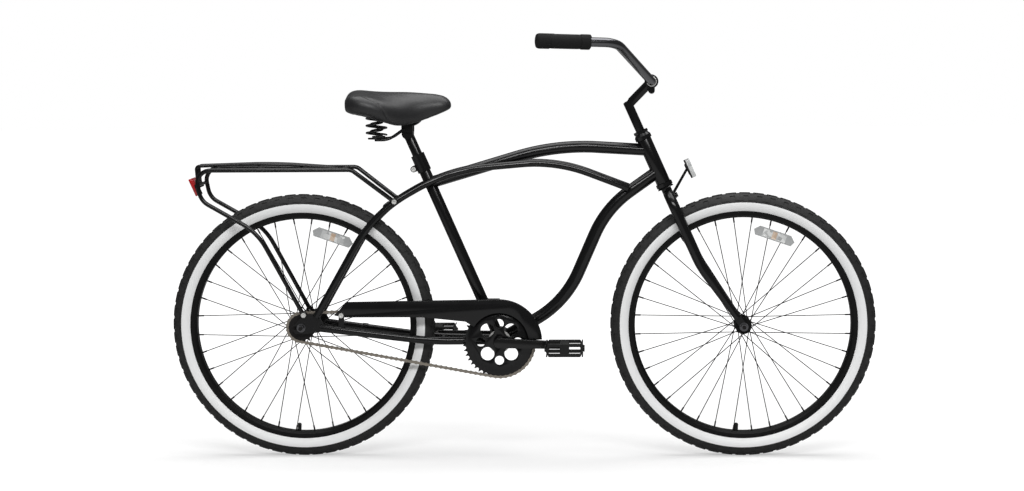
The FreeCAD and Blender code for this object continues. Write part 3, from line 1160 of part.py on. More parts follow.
# Guard brackets: a tab down to the right chainstay, and a strap out from the seat tube
strap = size("bracket_thickness")
tab_half = size("bracket_width") / 2
tab_points = [(screw_place.x - tab_half, REAR.z), (screw_place.x + tab_half, REAR.z),
              (screw_place.x + tab_half, screw_place.z + tab_half),
              (screw_place.x - tab_half, screw_place.z + tab_half)]
tab_hole = Part.makeCylinder(size("bolt_radius") + size("bolt_clearance"), strap, screw_place, LEFT)
guard_tab = plate(tab_points, guard_start, guard_start + strap).cut(tab_hole)
guard_tab = max(guard_tab.cut(chainstay_outer.Shape).Solids, key=lambda solid: solid.CenterOfMass.z)
lip_under = CRANK.z + GUARD_TOP - size("guard_thickness") * 2 - size("bolt_clearance")
strap_along = (lip_under - CRANK.z) / SEAT_UP.z
seat_side = on_seat(strap_along)
guard_strap = Part.makeBox(CRANK.x - seat_side.x, -guard_start, strap,
                           Vector(seat_side.x, guard_start, lip_under - strap))
shaped("guard_brackets", Part.makeCompound([guard_tab, guard_strap.cut(seat_outer.Shape)]))

# Seat post, with the clamp that grips the saddle's rails
POST_RADIUS = size("seat_tube_radius") - size("seat_tube_wall") - size("post_clearance")
post_length = size("post_insert") + size("post_exposed")
post_foot = on_seat(SEAT_TOP - size("post_insert"))
post_bar = Part.makeCylinder(POST_RADIUS, post_length, post_foot, SEAT_UP)
post_inside = Part.makeCylinder(POST_RADIUS - size("post_wall"), post_length, post_foot, SEAT_UP)
shaped("seat_post", post_bar.cut(post_inside))

knuckle = on_seat(SEAT_TOP + size("post_exposed") + size("knuckle_rise"))
knuckle_half = LEFT * (size("knuckle_width") / 2)
rail_z = knuckle.z + size("knuckle_radius") + size("rail_radius")
FOOT_Z = knuckle.z - size("foot_drop")
FOOT_TOP = FOOT_Z + size("foot_thickness")
SPRING_X = knuckle.x - size("spring_back")
rail_nose = knuckle + Vector(size("rail_nose_x"), -size("rail_nose_y"), size("rail_nose_z"))
foot_place = Vector(SPRING_X, -size("spring_y"), FOOT_Z)
rail_end = foot_place - UP * (size("rail_radius") / 2)
rail_dip = rail_end + Vector(size("spring_coil_radius") + 4 * size("rail_radius"), 0, 0)
rail_corners = [
    rail_nose,
    Vector((rail_nose.x + knuckle.x) / 2, -size("rail_spread"), rail_z + size("knuckle_radius") / 2),
    Vector(knuckle.x, -size("rail_spread"), rail_z),
    rail_dip,
    rail_end,
]
rail = swept(rounded_path(rail_corners), size("rail_radius"))
foot = Part.makeCylinder(size("foot_radius"), size("foot_thickness"), foot_place, UP)
nose_pin = rod(rail_nose, Vector(rail_nose.x, -rail_nose.y, rail_nose.z), size("rail_radius"))
rails = rail.fuse([foot, mirrored(rail), mirrored(foot), nose_pin])
shaped("saddle_rails", rails)

jaw_height = 4 * size("rail_radius")
jaw = Part.makeBox(2 * size("knuckle_radius"), jaw_height, jaw_height + size("knuckle_radius") / 2,
                   Vector(knuckle.x - size("knuckle_radius"), -size("rail_spread") - jaw_height / 2,
                          rail_z - size("knuckle_radius")))
knuckle_body = rod(knuckle - knuckle_half, knuckle + knuckle_half,
                   size("knuckle_radius")).fuse([jaw, mirrored(jaw)])
shaped("saddle_clamp", knuckle_body.removeSplitter().cut(rails).cut(post_bar.fuse(post_inside)))

# Saddle: a padded cover with a crowned top, a drawn-in skirt and a hollow underneath
SADDLE_LENGTH = size("saddle_rear") + size("saddle_nose")
SADDLE_REAR = knuckle.x - size("saddle_rear")
SADDLE_TOP = knuckle.z + size("saddle_top")
BELLY = size("saddle_top") - size("saddle_belly")
# Shares of a section's half width at its foot and upper edge, and of its height there and at its widest
TUCK, EDGE, SHOULDER, BULGE = 0.84, 0.70, 0.20, 0.52
# Each station: share of the length from the rear, of the skirt's depth for its top and foot, of the width
SADDLE_STATIONS = ((0.0, 0.22, 0.56, 0.52), (0.03, -0.02, 0.60, 0.82), (0.11, -0.075, 0.65, 0.97),
                   (0.24, -0.025, 0.74, 1.0), (0.38, 0.0, 0.90, 0.88), (0.52, 0.005, 1.0, 0.65),
                   (0.67, 0.01, 0.90, 0.42), (0.82, 0.03, 0.75, 0.29), (0.90, 0.06, 0.64, 0.25),
                   (0.95, 0.125, 0.57, 0.21), (1.0, 0.31, 0.48, 0.11))


def saddle_section(share, top_drop, depth, width):
    """A closed section across the saddle: flat below, rounded sides and a crowned top."""
    x = SADDLE_REAR + share * SADDLE_LENGTH
    top = SADDLE_TOP - top_drop * BELLY + size("saddle_rear_rise") * max(0.0, 0.3 - share)
    low = SADDLE_TOP - depth * BELLY
    half = width * size("saddle_width") / 2
    tuck = TUCK * half
    edge = EDGE * half
    shoulder = top - SHOULDER * (top - low)
    middle = low + BULGE * (top - low)
    edges = [
        Part.LineSegment(Vector(x, -tuck, low), Vector(x, tuck, low)),
        Part.Arc(Vector(x, tuck, low), Vector(x, half, middle), Vector(x, edge, shoulder)),
        Part.Arc(Vector(x, edge, shoulder), Vector(x, 0, top), Vector(x, -edge, shoulder)),
        Part.Arc(Vector(x, -edge, shoulder), Vector(x, -half, middle), Vector(x, -tuck, low)),
    ]
    return Part.Wire([edge_line.toShape() for edge_line in edges])


PAD_UNDER = SADDLE_TOP - size("pad_thickness")
SKIRT = size("skirt_thickness")
hollow_stations = [(share, width) for share, _, _, width in SADDLE_STATIONS if 0.05 < share < 0.9]


def hollow_section(share, width):
    """A section of the space under the saddle, open below."""
    x = SADDLE_REAR + share * SADDLE_LENGTH
    half = width * size("saddle_width") / 2 * TUCK - SKIRT
    low = SADDLE_TOP - BELLY - SKIRT
    corners = [Vector(x, -half, low), Vector(x, half, low), Vector(x, half, PAD_UNDER),
               Vector(x, -half, PAD_UNDER)]
    return Part.makePolygon(corners + corners[:1])


cover = Part.makeLoft([saddle_section(*station) for station in SADDLE_STATIONS], True, False)
hollow = Part.makeLoft([hollow_section(*station) for station in hollow_stations], True, True)
shaped("saddle_cover", cover.cut(hollow))

PAN_TOP = PAD_UNDER - size("pan_gap")
PAN_LOW = PAN_TOP - size("pan_thickness")
pan_side = [Vector(SADDLE_REAR + share * SADDLE_LENGTH,
                   width * size("saddle_width") / 2 * TUCK - SKIRT - size("pan_gap"), PAN_LOW)
            for share, width in hollow_stations]
pan_outline = pan_side + [Vector(point.x, -point.y, point.z) for point in reversed(pan_side)]
pan_plate = Part.Face(Part.makePolygon(pan_outline + pan_outline[:1])).extrude(UP * size("pan_thickness"))
inset_x = size("pan_gap")
pan_plate = pan_plate.common(Part.makeBox(pan_side[-1].x - pan_side[0].x - 2 * inset_x,
                                          2 * size("saddle_width"),
                                          4 * size("pan_thickness"),
                                          Vector(pan_side[0].x + inset_x, -size("saddle_width"),
                                                 PAN_LOW - size("pan_thickness"))))
lug_half_x = 2 * size("rail_radius")
lug_y = size("rail_nose_y") - size("rail_radius") - size("spoke_gap")
nose_lug = Part.makeBox(2 * lug_half_x, 2 * lug_y, PAN_TOP - rail_nose.z + lug_half_x,
                        Vector(rail_nose.x - lug_half_x, -lug_y, rail_nose.z - lug_half_x))
pin_bore = rod(Vector(rail_nose.x, -lug_y, rail_nose.z), Vector(rail_nose.x, lug_y, rail_nose.z),
               size("rail_radius") + size("spindle_clearance"))
shaped("saddle_pan", pan_plate.fuse(nose_lug).removeSplitter().cut(pin_bore))

# Saddle springs: each one unbroken wire wound from its foot to the pan
SPRING_WIRE = size("spring_wire")
SPRING_LOW = FOOT_TOP + size("pan_gap") + SPRING_WIRE
SPRING_RISE = PAN_LOW - size("pan_gap") - SPRING_WIRE - SPRING_LOW
QUARTERS = int(round(4 * size("spring_turns")))


def spring_point(turn):
    """A point of the coil's centre line, and its direction, after a number of turns."""
    angle = 2 * math.pi * turn
    radius = size("spring_coil_radius")
    place = Vector(SPRING_X + radius * math.cos(angle), -size("spring_y") + radius * math.sin(angle),
                   SPRING_LOW + SPRING_RISE * turn / size("spring_turns"))
    way = Vector(-2 * math.pi * radius * math.sin(angle), 2 * math.pi * radius * math.cos(angle),
                 SPRING_RISE / size("spring_turns"))
    return place, way.normalize()


def tangent_arc(start, corner, end):
    """The arc that touches both legs of a corner at its two ends."""
    back = (start - corner).normalize()
    ahead = (end - corner).normalize()
    half_turn = (math.pi - back.getAngle(ahead)) / 2
    radius = (start - corner).Length / math.tan(half_turn)
    middle = corner + (back + ahead).normalize() * (radius / math.cos(half_turn) - radius)
    return Part.Arc(start, middle, end).toShape()


def biarc(start, way_out, end, way_in):
    """Two arcs that join two points smoothly in given directions."""
    across = end - start
    both = way_out + way_in
    bend = 1 - way_out.dot(way_in)
    reach = (math.sqrt(across.dot(both) ** 2 + 2 * bend * across.dot(across)) - across.dot(both)) / (2 * bend)
    first = start + way_out * reach
    second = end - way_in * reach
    middle = (first + second) * 0.5
    return [tangent_arc(start, first, middle), tangent_arc(middle, second, end)]


spring_edges = []
for quarter in range(QUARTERS):
    spring_edges += biarc(*spring_point(quarter / 4), *spring_point((quarter + 1) / 4))
spring_line = Part.Wire(spring_edges)
spring = swept(spring_line, SPRING_WIRE)
samples = [edge.valueAt(edge.FirstParameter + (edge.LastParameter - edge.FirstParameter) * step / 4)
           for edge in spring_edges for step in range(4)]
half_turn_samples = len(samples) // QUARTERS * 2
self_gap = min((samples[later] - samples[earlier]).Length - 2 * SPRING_WIRE
               for earlier in range(len(samples))
               for later in range(earlier + half_turn_samples, len(samples)))
print("saddle spring: least gap to itself %.2f mm" % self_gap)
shaped("saddle_springs", both_sides(spring))

# Rear rack: two bent side rods bolted to the side tubes and the dropouts, and a deck between them
RACK = size("rack_radius")
strut_on_tube = side_knee + (side_seat - side_knee) * size("rack_strut_share")
tube_side = strut_on_tube.y - size("side_tube_radius") - size("spoke_gap")
strut_tab = Vector(strut_on_tube.x, tube_side, strut_on_tube.z)
leg_tab = Vector(EYELET.x, outside_y, EYELET.z)
tab_thickness = size("rack_tab_thickness")
rail_y = -size("rack_half_width")
deck_z = 2 * TYRE_RADIUS + size("rack_clearance")
rack_front = REAR.x + size("rack_front_x")
rack_rear = REAR.x + size("rack_rear_x")
rack_drop = REAR.x + size("rack_drop_x")
rack_corners = [
    strut_tab + RIGHT * tab_thickness, Vector(rack_front, rail_y, deck_z),
    Vector(rack_rear, rail_y, deck_z),
    Vector(rack_drop, rail_y, deck_z - size("rack_drop_z")),
    Vector(REAR.x + size("rack_knee_x"), rail_y, deck_z - size("rack_knee_z")),
    leg_tab + RIGHT * tab_thickness,
]
rack_line = rounded_path(rack_corners,
                         [size("rack_front_bend"), size("rack_rear_bend"), size("rack_drop_bend"),
                                        size("rack_knee_bend")])
rack_rod = swept(rack_line, RACK)
tabs = [Part.makeCylinder(size("eyelet_radius"), tab_thickness, seat,
                          RIGHT) for seat in (strut_tab, leg_tab)]
clearings = [Part.makeCylinder(size("eyelet_radius") + RACK, 4 * RACK, seat,
                               LEFT) for seat in (strut_tab, leg_tab)]
clearings += [Part.makeCylinder(size("bolt_head_radius") + size("bolt_clearance"), 4 * RACK,
                                seat + RIGHT * tab_thickness, RIGHT) for seat in (strut_tab, leg_tab)]
tab_holes = [Part.makeCylinder(size("bolt_radius") + size("bolt_clearance"), tab_thickness, seat, RIGHT)
             for seat in (strut_tab, leg_tab)]
rack_side = rack_rod.cut(Part.makeCompound(clearings)).fuse(tabs).removeSplitter()
rack_side = rack_side.cut(Part.makeCompound(tab_holes))
shaped("rack_sides", both_sides(max(rack_side.Solids, key=lambda solid: solid.Volume)))

BAR = size("rack_bar_radius")
bar_count = int(size("rack_bar_count"))
first_bar = rack_front - 4 * RACK
last_bar = rack_rear + 8 * RACK
deck_bars = []
for index in range(bar_count):
    x = first_bar + (last_bar - first_bar) * index / (bar_count - 1)
    deck_bars.append(rod(Vector(x, rail_y, deck_z), Vector(x, -rail_y, deck_z), BAR))
tail_share = size("rack_tail_drop") / size("rack_drop_z")
tail_x = rack_rear + (rack_drop - rack_rear) * tail_share
tail_z = deck_z - size("rack_tail_drop")
tail_bar = rod(Vector(tail_x, rail_y, tail_z), Vector(tail_x, -rail_y, tail_z), BAR)
rod_z = deck_z + 2 * BAR
for rod_y in (-size("rack_rod_spread"), size("rack_rod_spread")):
    crest = Vector(REAR.x + size("rack_crest_x"), rod_y, rod_z + size("rack_crest_rise") - 2 * BAR)
    corners = [Vector(first_bar - BAR - size("rack_rod_gap"), rod_y, deck_z + BAR / 4), crest,
               Vector(rack_rear - BAR, rod_y, rod_z),
               Vector(tail_x - 2 * BAR, rod_y, tail_z)]
    deck_bars.append(swept(rounded_path(corners, [4 * TYRE_RADIUS, 2 * BAR]), BAR))
rack_rods = Part.makeCompound([rack_rod, mirrored(rack_rod)])
deck = [max(bar.cut(rack_rods).Solids, key=lambda solid: solid.Volume) for bar in deck_bars + [tail_bar]]

# Red reflector on the tail of the rack, and its holder on the lower cross bar
tail_turn = Rotation(LEFT, size("head_angle") - 90)
half_width = size("tail_reflector_width") / 2
half_height = size("tail_reflector_height") / 2


def tail_block(depth, back, margin):
    """A block across the tail, leaning as the reflector does."""
    block = Part.makeBox(depth, 2 * (half_width - margin), 2 * (half_height - margin),
                         Vector(back, margin - half_width, margin - half_height))
    block.Placement = Placement(Vector(tail_x, 0, tail_z), tail_turn)
    return block


holder_depth = size("tail_holder_depth") + 2 * BAR
holder = tail_block(holder_depth, -holder_depth, 4 * BAR).cut(tail_bar)
deck.append(max(holder.Solids, key=lambda solid: solid.Volume))
shaped("rack_deck", Part.makeCompound(deck))
shaped("tail_reflector",
       tail_block(size("tail_reflector_depth"), -holder_depth - size("tail_reflector_depth"), 0))

# Front reflector on a bent bracket bolted to the front of the fork crown
crown_bolt_along = -size("crown_bolt_drop")
bracket_foot = crown_bolt_along - tab_half
bracket_ahead = size("fork_leg_radius") + RACE_GAP
bracket_top = crown_bolt_along + size("bolt_head_radius") + strap + RACE_GAP
reflector_back = size("fork_reflector_forward") - size("fork_reflector_depth")
arm_points = [on_head(along, ahead) for along, ahead in
              [(bracket_foot, bracket_ahead), (bracket_foot, bracket_ahead + strap),
               (bracket_top - strap, bracket_ahead + strap),
               (size("fork_reflector_along") - strap, reflector_back - strap / 2),
               (size("fork_reflector_along") - size("bracket_width"), reflector_back - strap / 2),
               (size("fork_reflector_along") - size("bracket_width"), reflector_back),
               (size("fork_reflector_along") + size("bracket_width"), reflector_back),
               (size("fork_reflector_along") + size("bracket_width"), reflector_back - strap),
               (size("fork_reflector_along") + strap, reflector_back - strap),
               (bracket_top + strap, bracket_ahead)]]
bracket = plate([(point.x, point.z) for point in arm_points], -tab_half, tab_half)
bracket_hole = Part.makeCylinder(size("bolt_radius") + size("bolt_clearance"), 2 * strap,
                                 on_head(crown_bolt_along, bracket_ahead), HEAD_AHEAD)
shaped("front_reflector_bracket", bracket.cut(bracket_hole))
reflector = Part.makeBox(size("fork_reflector_depth"), size("fork_reflector_width"),
                         size("fork_reflector_height"),
                         Vector(0, -size("fork_reflector_width") / 2, -size("fork_reflector_height") / 2))
reflector.Placement = Placement(on_head(size("fork_reflector_along"), reflector_back), HEAD_TURN)
shaped("front_reflector", reflector)
crown_bolt = bolt(on_head(crown_bolt_along, bracket_ahead + strap), HEAD_AHEAD, strap)
shaped("steering_bolts", Part.makeCompound([wedge.cut(wedge_bore), expander, pinch_bolt, crown_bolt]))

# Coaster brake arm on the left end of the rear axle, held to the left chainstay by a strap
arm_y = size("brake_arm_y")
arm_end = Vector(REAR.x + size("brake_arm_length"), arm_y, REAR.z - size("brake_arm_drop"))
arm_half_height = size("brake_arm_height") / 2
arm_thick = size("brake_arm_thickness")
arm_outline = [(REAR.x, REAR.z - arm_half_height), (arm_end.x, arm_end.z - arm_half_height),
               (arm_end.x, arm_end.z + arm_half_height), (REAR.x, REAR.z + arm_half_height)]
arm_plate = plate(arm_outline, arm_y, arm_y + arm_thick)
arm_hub = Part.makeCylinder(1.6 * arm_half_height, arm_thick, Vector(REAR.x, arm_y, REAR.z), LEFT)
arm_tip = Part.makeCylinder(arm_half_height, arm_thick, arm_end, LEFT)
arm_bore = Part.makeCylinder(AXLE + size("press_clearance"), arm_thick, Vector(REAR.x, arm_y, REAR.z), LEFT)
brake_arm = arm_plate.fuse([arm_hub, arm_tip]).removeSplitter().cut(arm_bore)
stay_way = (chainstay_bend - stay_end).normalize()
stay_share = (arm_end.x - stay_end.x) / stay_way.x
stay_place = stay_end + stay_way * stay_share
strap_centre = Vector(stay_place.x, -stay_place.y, stay_place.z)
strap_way = Vector(stay_way.x, -stay_way.y, stay_way.z)
strap_half = strap_way * (size("brake_strap_width") / 2)
band = rod(strap_centre - strap_half, strap_centre + strap_half, size("chainstay_radius") + strap / 2)
band_lug = Part.makeBox(size("brake_strap_width"), strap, strap_centre.z - arm_end.z + arm_half_height,
                        Vector(arm_end.x - size("brake_strap_width") / 2, arm_y + arm_thick,
                               arm_end.z - arm_half_height))
brake_strap = band.fuse(band_lug).removeSplitter().cut(mirrored(chainstay_outer.Shape))
brake_strap = max(brake_strap.Solids, key=lambda solid: solid.Volume)
shaped("brake_arm", Part.makeCompound([brake_arm, brake_strap]))

# Bright bolts on the frame: seat clamp, rack and guard
bolt_seats = [(clamp_lug - lug_half, RIGHT, size("clamp_lug_width")),
              (screw_place + RIGHT * size("guard_thickness"), RIGHT, strap)]
for seat in (strut_tab, leg_tab):
    start = seat + RIGHT * tab_thickness
    bolt_seats.append((start, RIGHT, tab_thickness))
    bolt_seats.append((Vector(start.x, -start.y, start.z), LEFT, tab_thickness))
shaped("frame_bolts", Part.makeCompound([bolt(*seat) for seat in bolt_seats]))

# Every object of the model is checked before anything is written
document.recompute()
for piece in document.Objects:
    if "Invalid" in piece.State or "Error" in piece.State:
        raise RuntimeError("failed: " + piece.Label)
for piece in NODES:
    if piece.Shape.isNull() or not piece.Shape.isValid() or not piece.Shape.Solids:
        raise RuntimeError("not a valid solid: " + piece.Label)
os.makedirs("parts", exist_ok=True)
for piece in NODES:
    piece.Shape.exportStep("parts/%s.step" % piece.Label)
print("%d nodes, %d solids" % (len(NODES), sum(len(piece.Shape.Solids) for piece in NODES)))
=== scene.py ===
import json
import math

import bmesh
import bpy
from mathutils import Matrix, Vector


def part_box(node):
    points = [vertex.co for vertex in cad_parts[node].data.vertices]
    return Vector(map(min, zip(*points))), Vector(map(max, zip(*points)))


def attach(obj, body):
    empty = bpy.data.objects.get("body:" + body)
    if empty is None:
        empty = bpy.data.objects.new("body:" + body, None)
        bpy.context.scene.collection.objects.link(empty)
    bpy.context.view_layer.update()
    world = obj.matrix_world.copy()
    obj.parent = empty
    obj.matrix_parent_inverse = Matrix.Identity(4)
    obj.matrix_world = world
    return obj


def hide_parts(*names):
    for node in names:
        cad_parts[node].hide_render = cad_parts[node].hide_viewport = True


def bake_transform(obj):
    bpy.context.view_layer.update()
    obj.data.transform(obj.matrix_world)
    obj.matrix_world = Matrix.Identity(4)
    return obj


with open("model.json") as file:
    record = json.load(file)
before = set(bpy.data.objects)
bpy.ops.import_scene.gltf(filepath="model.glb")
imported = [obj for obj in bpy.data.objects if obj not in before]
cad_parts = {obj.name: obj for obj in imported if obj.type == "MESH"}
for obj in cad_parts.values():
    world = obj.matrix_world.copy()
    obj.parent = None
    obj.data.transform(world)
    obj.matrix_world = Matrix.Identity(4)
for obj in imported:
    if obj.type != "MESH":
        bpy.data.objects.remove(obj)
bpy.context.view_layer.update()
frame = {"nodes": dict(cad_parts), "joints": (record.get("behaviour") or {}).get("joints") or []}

# Beach cruiser bicycle, in metres. +X is forward, +Y is the rider's left, +Z is up.

NODES = frame["nodes"]
JOINTS = {joint["name"]: joint for joint in frame["joints"]}
FRONT_AXLE = Vector(JOINTS["front_wheel_spin"]["pos_m"])
REAR_AXLE = Vector(JOINTS["rear_wheel_spin"]["pos_m"])
STEER_UP = Vector(JOINTS["steering"]["axis"])
BAR_CENTRE = Vector(JOINTS["handlebar_tilt"]["pos_m"])
STEER_AHEAD = Vector((STEER_UP.z, 0, -STEER_UP.x))
TYRE_RADIUS = FRONT_AXLE.z


# Finishes: a few effects that several materials share, then one material for each finish
def new_group(name, inputs, outputs):
    """An empty shader node group with named sockets: inputs carry a default value."""
    group = bpy.data.node_groups.new(name, "ShaderNodeTree")
    for label, value in inputs:
        socket = group.interface.new_socket(name=label, in_out="INPUT", socket_type="NodeSocketFloat")
        socket.default_value = value
    for label in outputs:
        group.interface.new_socket(name=label, in_out="OUTPUT", socket_type="NodeSocketFloat")
    group.nodes.new("NodeGroupInput")
    group.nodes.new("NodeGroupOutput")
    return group


def grain_group():
    """Fine grain of a paint, rubber or casting: a height, and a roughness that wanders with larger noise."""
    inputs = [("Grain Scale", 900.0), ("Cloud Scale", 18.0), ("Smoothest", 0.3), ("Roughest", 0.5)]
    group = new_group("surface_grain", inputs, ["Height", "Roughness"])
    nodes, links = group.nodes, group.links
    source, sink = nodes["Group Input"], nodes["Group Output"]
    place = nodes.new("ShaderNodeTexCoord")
    grain = nodes.new("ShaderNodeTexNoise")
    grain.inputs["Detail"].default_value = 3.0
    cloud = nodes.new("ShaderNodeTexNoise")
    cloud.inputs["Detail"].default_value = 4.0
    spread = nodes.new("ShaderNodeMapRange")
    spread.inputs["From Min"].default_value = 0.3
    spread.inputs["From Max"].default_value = 0.7
    for noise, label in ((grain, "Grain Scale"), (cloud, "Cloud Scale")):
        links.new(place.outputs["Object"], noise.inputs["Vector"])
        links.new(source.outputs[label], noise.inputs["Scale"])
    links.new(cloud.outputs["Fac"], spread.inputs["Value"])
    links.new(source.outputs["Smoothest"], spread.inputs["To Min"])
    links.new(source.outputs["Roughest"], spread.inputs["To Max"])
    links.new(grain.outputs["Fac"], sink.inputs["Height"])
    links.new(spread.outputs["Result"], sink.inputs["Roughness"])
    return group


def prism_group():
    """Corner-cube cells of a reflector lens: a height, and a shade that differs from patch to patch."""
    group = new_group("lens_prisms", [("Cell Scale", 420.0)], ["Height", "Shade"])
    nodes, links = group.nodes, group.links
    source, sink = nodes["Group Input"], nodes["Group Output"]
    place = nodes.new("ShaderNodeTexCoord")
    cells = nodes.new("ShaderNodeTexVoronoi")
    cells.inputs["Randomness"].default_value = 0.0
    shades = nodes.new("ShaderNodeTexVoronoi")
    for texture in (cells, shades):
        links.new(place.outputs["Object"], texture.inputs["Vector"])
    links.new(source.outputs["Cell Scale"], cells.inputs["Scale"])
    shades.inputs["Scale"].default_value = 90.0
    grey = nodes.new("ShaderNodeSeparateColor")
    links.new(shades.outputs["Color"], grey.inputs["Color"])
    links.new(cells.outputs["Distance"], sink.inputs["Height"])
    links.new(grey.outputs["Red"], sink.inputs["Shade"])
    return group


SURFACE_GRAIN = grain_group()
LENS_PRISMS = prism_group()


def grained(name, colour, smoothest, roughest, metallic=0.0, grain=900.0, depth=0.00002, strength=0.3,
            coat=0.0, coat_roughness=0.1, specular=0.5):
    """A plain finish with fine grain: paint, plated steel, rubber or plastic."""
    material = bpy.data.materials.new(name)
    material.use_nodes = True
    nodes, links = material.node_tree.nodes, material.node_tree.links
    shader = nodes["Principled BSDF"]
    shader.inputs["Base Color"].default_value = (*colour, 1.0)
    shader.inputs["Metallic"].default_value = metallic
    shader.inputs["Specular IOR Level"].default_value = specular
    shader.inputs["Coat Weight"].default_value = coat
    shader.inputs["Coat Roughness"].default_value = coat_roughness
    effect = nodes.new("ShaderNodeGroup")
    effect.node_tree = SURFACE_GRAIN
    effect.inputs["Grain Scale"].default_value = grain
    effect.inputs["Smoothest"].default_value = smoothest
    effect.inputs["Roughest"].default_value = roughest
    bump = nodes.new("ShaderNodeBump")
    bump.inputs["Strength"].default_value = strength
    bump.inputs["Distance"].default_value = depth
    links.new(effect.outputs["Height"], bump.inputs["Height"])
    links.new(bump.outputs["Normal"], shader.inputs["Normal"])
    links.new(effect.outputs["Roughness"], shader.inputs["Roughness"])
    return material


def lens(name, dark, light):
    """Reflector plastic: small prisms under a glossy face."""
    material = bpy.data.materials.new(name)
    material.use_nodes = True
    nodes, links = material.node_tree.nodes, material.node_tree.links
    shader = nodes["Principled BSDF"]
    shader.inputs["Roughness"].default_value = 0.18
    shader.inputs["Coat Weight"].default_value = 0.6
    shader.inputs["Coat Roughness"].default_value = 0.05
    effect = nodes.new("ShaderNodeGroup")
    effect.node_tree = LENS_PRISMS
    tint = nodes.new("ShaderNodeMix")
    tint.data_type = "RGBA"
    tint.inputs["A"].default_value = (*dark, 1.0)
    tint.inputs["B"].default_value = (*light, 1.0)
    bump = nodes.new("ShaderNodeBump")
    bump.inputs["Strength"].default_value = 0.5
    bump.inputs["Distance"].default_value = 0.0006
    links.new(effect.outputs["Shade"], tint.inputs["Factor"])
    links.new(tint.outputs["Result"], shader.inputs["Base Color"])
    links.new(effect.outputs["Height"], bump.inputs["Height"])
    links.new(bump.outputs["Normal"], shader.inputs["Normal"])
    return material


SATIN_BLACK = grained("satin_black_paint", (0.004, 0.004, 0.0043), 0.18, 0.23, strength=0.004, specular=0.36)
GLOSS_BLACK = grained("gloss_black_paint", (0.006, 0.006, 0.006), 0.20, 0.28, coat=0.25, coat_roughness=0.12,
                      specular=0.3)
RIM_BLACK = grained("black_anodised_rim", (0.005, 0.005, 0.005), 0.36, 0.44, specular=0.16)
GUNMETAL = grained("gunmetal_plate", (0.13, 0.13, 0.137), 0.16, 0.22, metallic=1.0, strength=0.004)
ZINC = grained("zinc_plate", (0.80, 0.80, 0.78), 0.38, 0.50, metallic=0.8)
DARK_STEEL = grained("dark_spoke_steel", (0.012, 0.011, 0.011), 0.36, 0.46, metallic=0.1, specular=0.2)
CHAIN_BROWN = grained("oiled_chain_steel", (0.30, 0.27, 0.23), 0.34, 0.5, metallic=0.7)
TYRE_BLACK = grained("tyre_rubber", (0.022, 0.022, 0.022), 0.55, 0.72, grain=1500.0, depth=0.0001,
                     specular=0.3)
TYRE_WHITE = grained("white_wall_rubber", (0.95, 0.955, 0.955), 0.55, 0.65, grain=1500.0, depth=0.00005)
GRIP_BLACK = grained("grip_foam", (0.009, 0.009, 0.009), 0.75, 0.9, grain=2500.0, depth=0.0003, strength=0.6,
                     specular=0.2)
PLASTIC_BLACK = grained("black_plastic", (0.010, 0.010, 0.010), 0.4, 0.55, grain=1200.0, depth=0.0001,
                        specular=0.25)
SADDLE_BLACK = grained("saddle_vinyl", (0.010, 0.010, 0.011), 0.40, 0.50, grain=1100.0, depth=0.0002,
                       strength=0.03, specular=0.55)
PLASTIC_GREY = grained("grey_plastic", (0.42, 0.43, 0.43), 0.35, 0.5, grain=1200.0, depth=0.0001)
CLEAR_LENS = lens("clear_lens", (0.42, 0.43, 0.43), (0.88, 0.89, 0.88))
RED_LENS = lens("red_lens", (0.30, 0.004, 0.006), (0.62, 0.015, 0.018))
AMBER_LENS = lens("amber_lens", (0.45, 0.13, 0.01), (0.75, 0.28, 0.03))
PALE_AMBER_LENS = lens("pale_amber_lens", (0.52, 0.36, 0.24), (0.80, 0.66, 0.54))

# Finishes of the CAD nodes that stay: those not named here have the frame's paint
NODE_FINISH = {
    "front_rim": RIM_BLACK, "rear_rim": RIM_BLACK, "front_hub": RIM_BLACK, "rear_hub": RIM_BLACK,
    "front_spokes": DARK_STEEL, "rear_spokes": DARK_STEEL, "front_axle": DARK_STEEL, "rear_axle": DARK_STEEL,
    "front_axle_nuts": GUNMETAL, "rear_axle_nuts": GUNMETAL, "front_inner_tube": PLASTIC_BLACK,
    "rear_inner_tube": PLASTIC_BLACK, "chain": CHAIN_BROWN, "rear_sprocket": DARK_STEEL, "frame_bolts": ZINC,
    "steering_bolts": GLOSS_BLACK, "bearing_balls": ZINC, "bottom_bracket_cups": ZINC, "pedal_spindles": ZINC,
    "saddle_pan": PLASTIC_BLACK,
}
for label, node in NODES.items():
    node.data.materials.clear()
    node.data.materials.append(NODE_FINISH.get(label, SATIN_BLACK))


# Modelling steps that several pieces share
MERGE_DISTANCE = 0.00002
FLAT_ANGLE = math.radians(1.0)
# Least share of a face's normal along an axis for the face to look that way
SQUARE_ON = 0.9


def begin():
    """Leaves edit mode with nothing selected."""
    if bpy.context.mode != "OBJECT":
        bpy.ops.object.mode_set(mode="OBJECT")
    bpy.ops.object.select_all(action="DESELECT")


def only(piece):
    """Selects one piece alone, in object mode."""
    begin()
    piece.select_set(True)
    bpy.context.view_layer.objects.active = piece


def applied(piece, name, kind, **values):
    """Adds a modifier to the selected piece and applies it."""
    modifier = piece.modifiers.new(name, kind)
    for label, value in values.items():
        setattr(modifier, label, value)
    bpy.ops.object.modifier_apply(modifier=modifier.name)


def open_mesh(piece):
    """Opens one piece in edit mode with all of it selected."""
    only(piece)
    bpy.ops.object.mode_set(mode="EDIT")
    bpy.ops.mesh.select_all(action="SELECT")


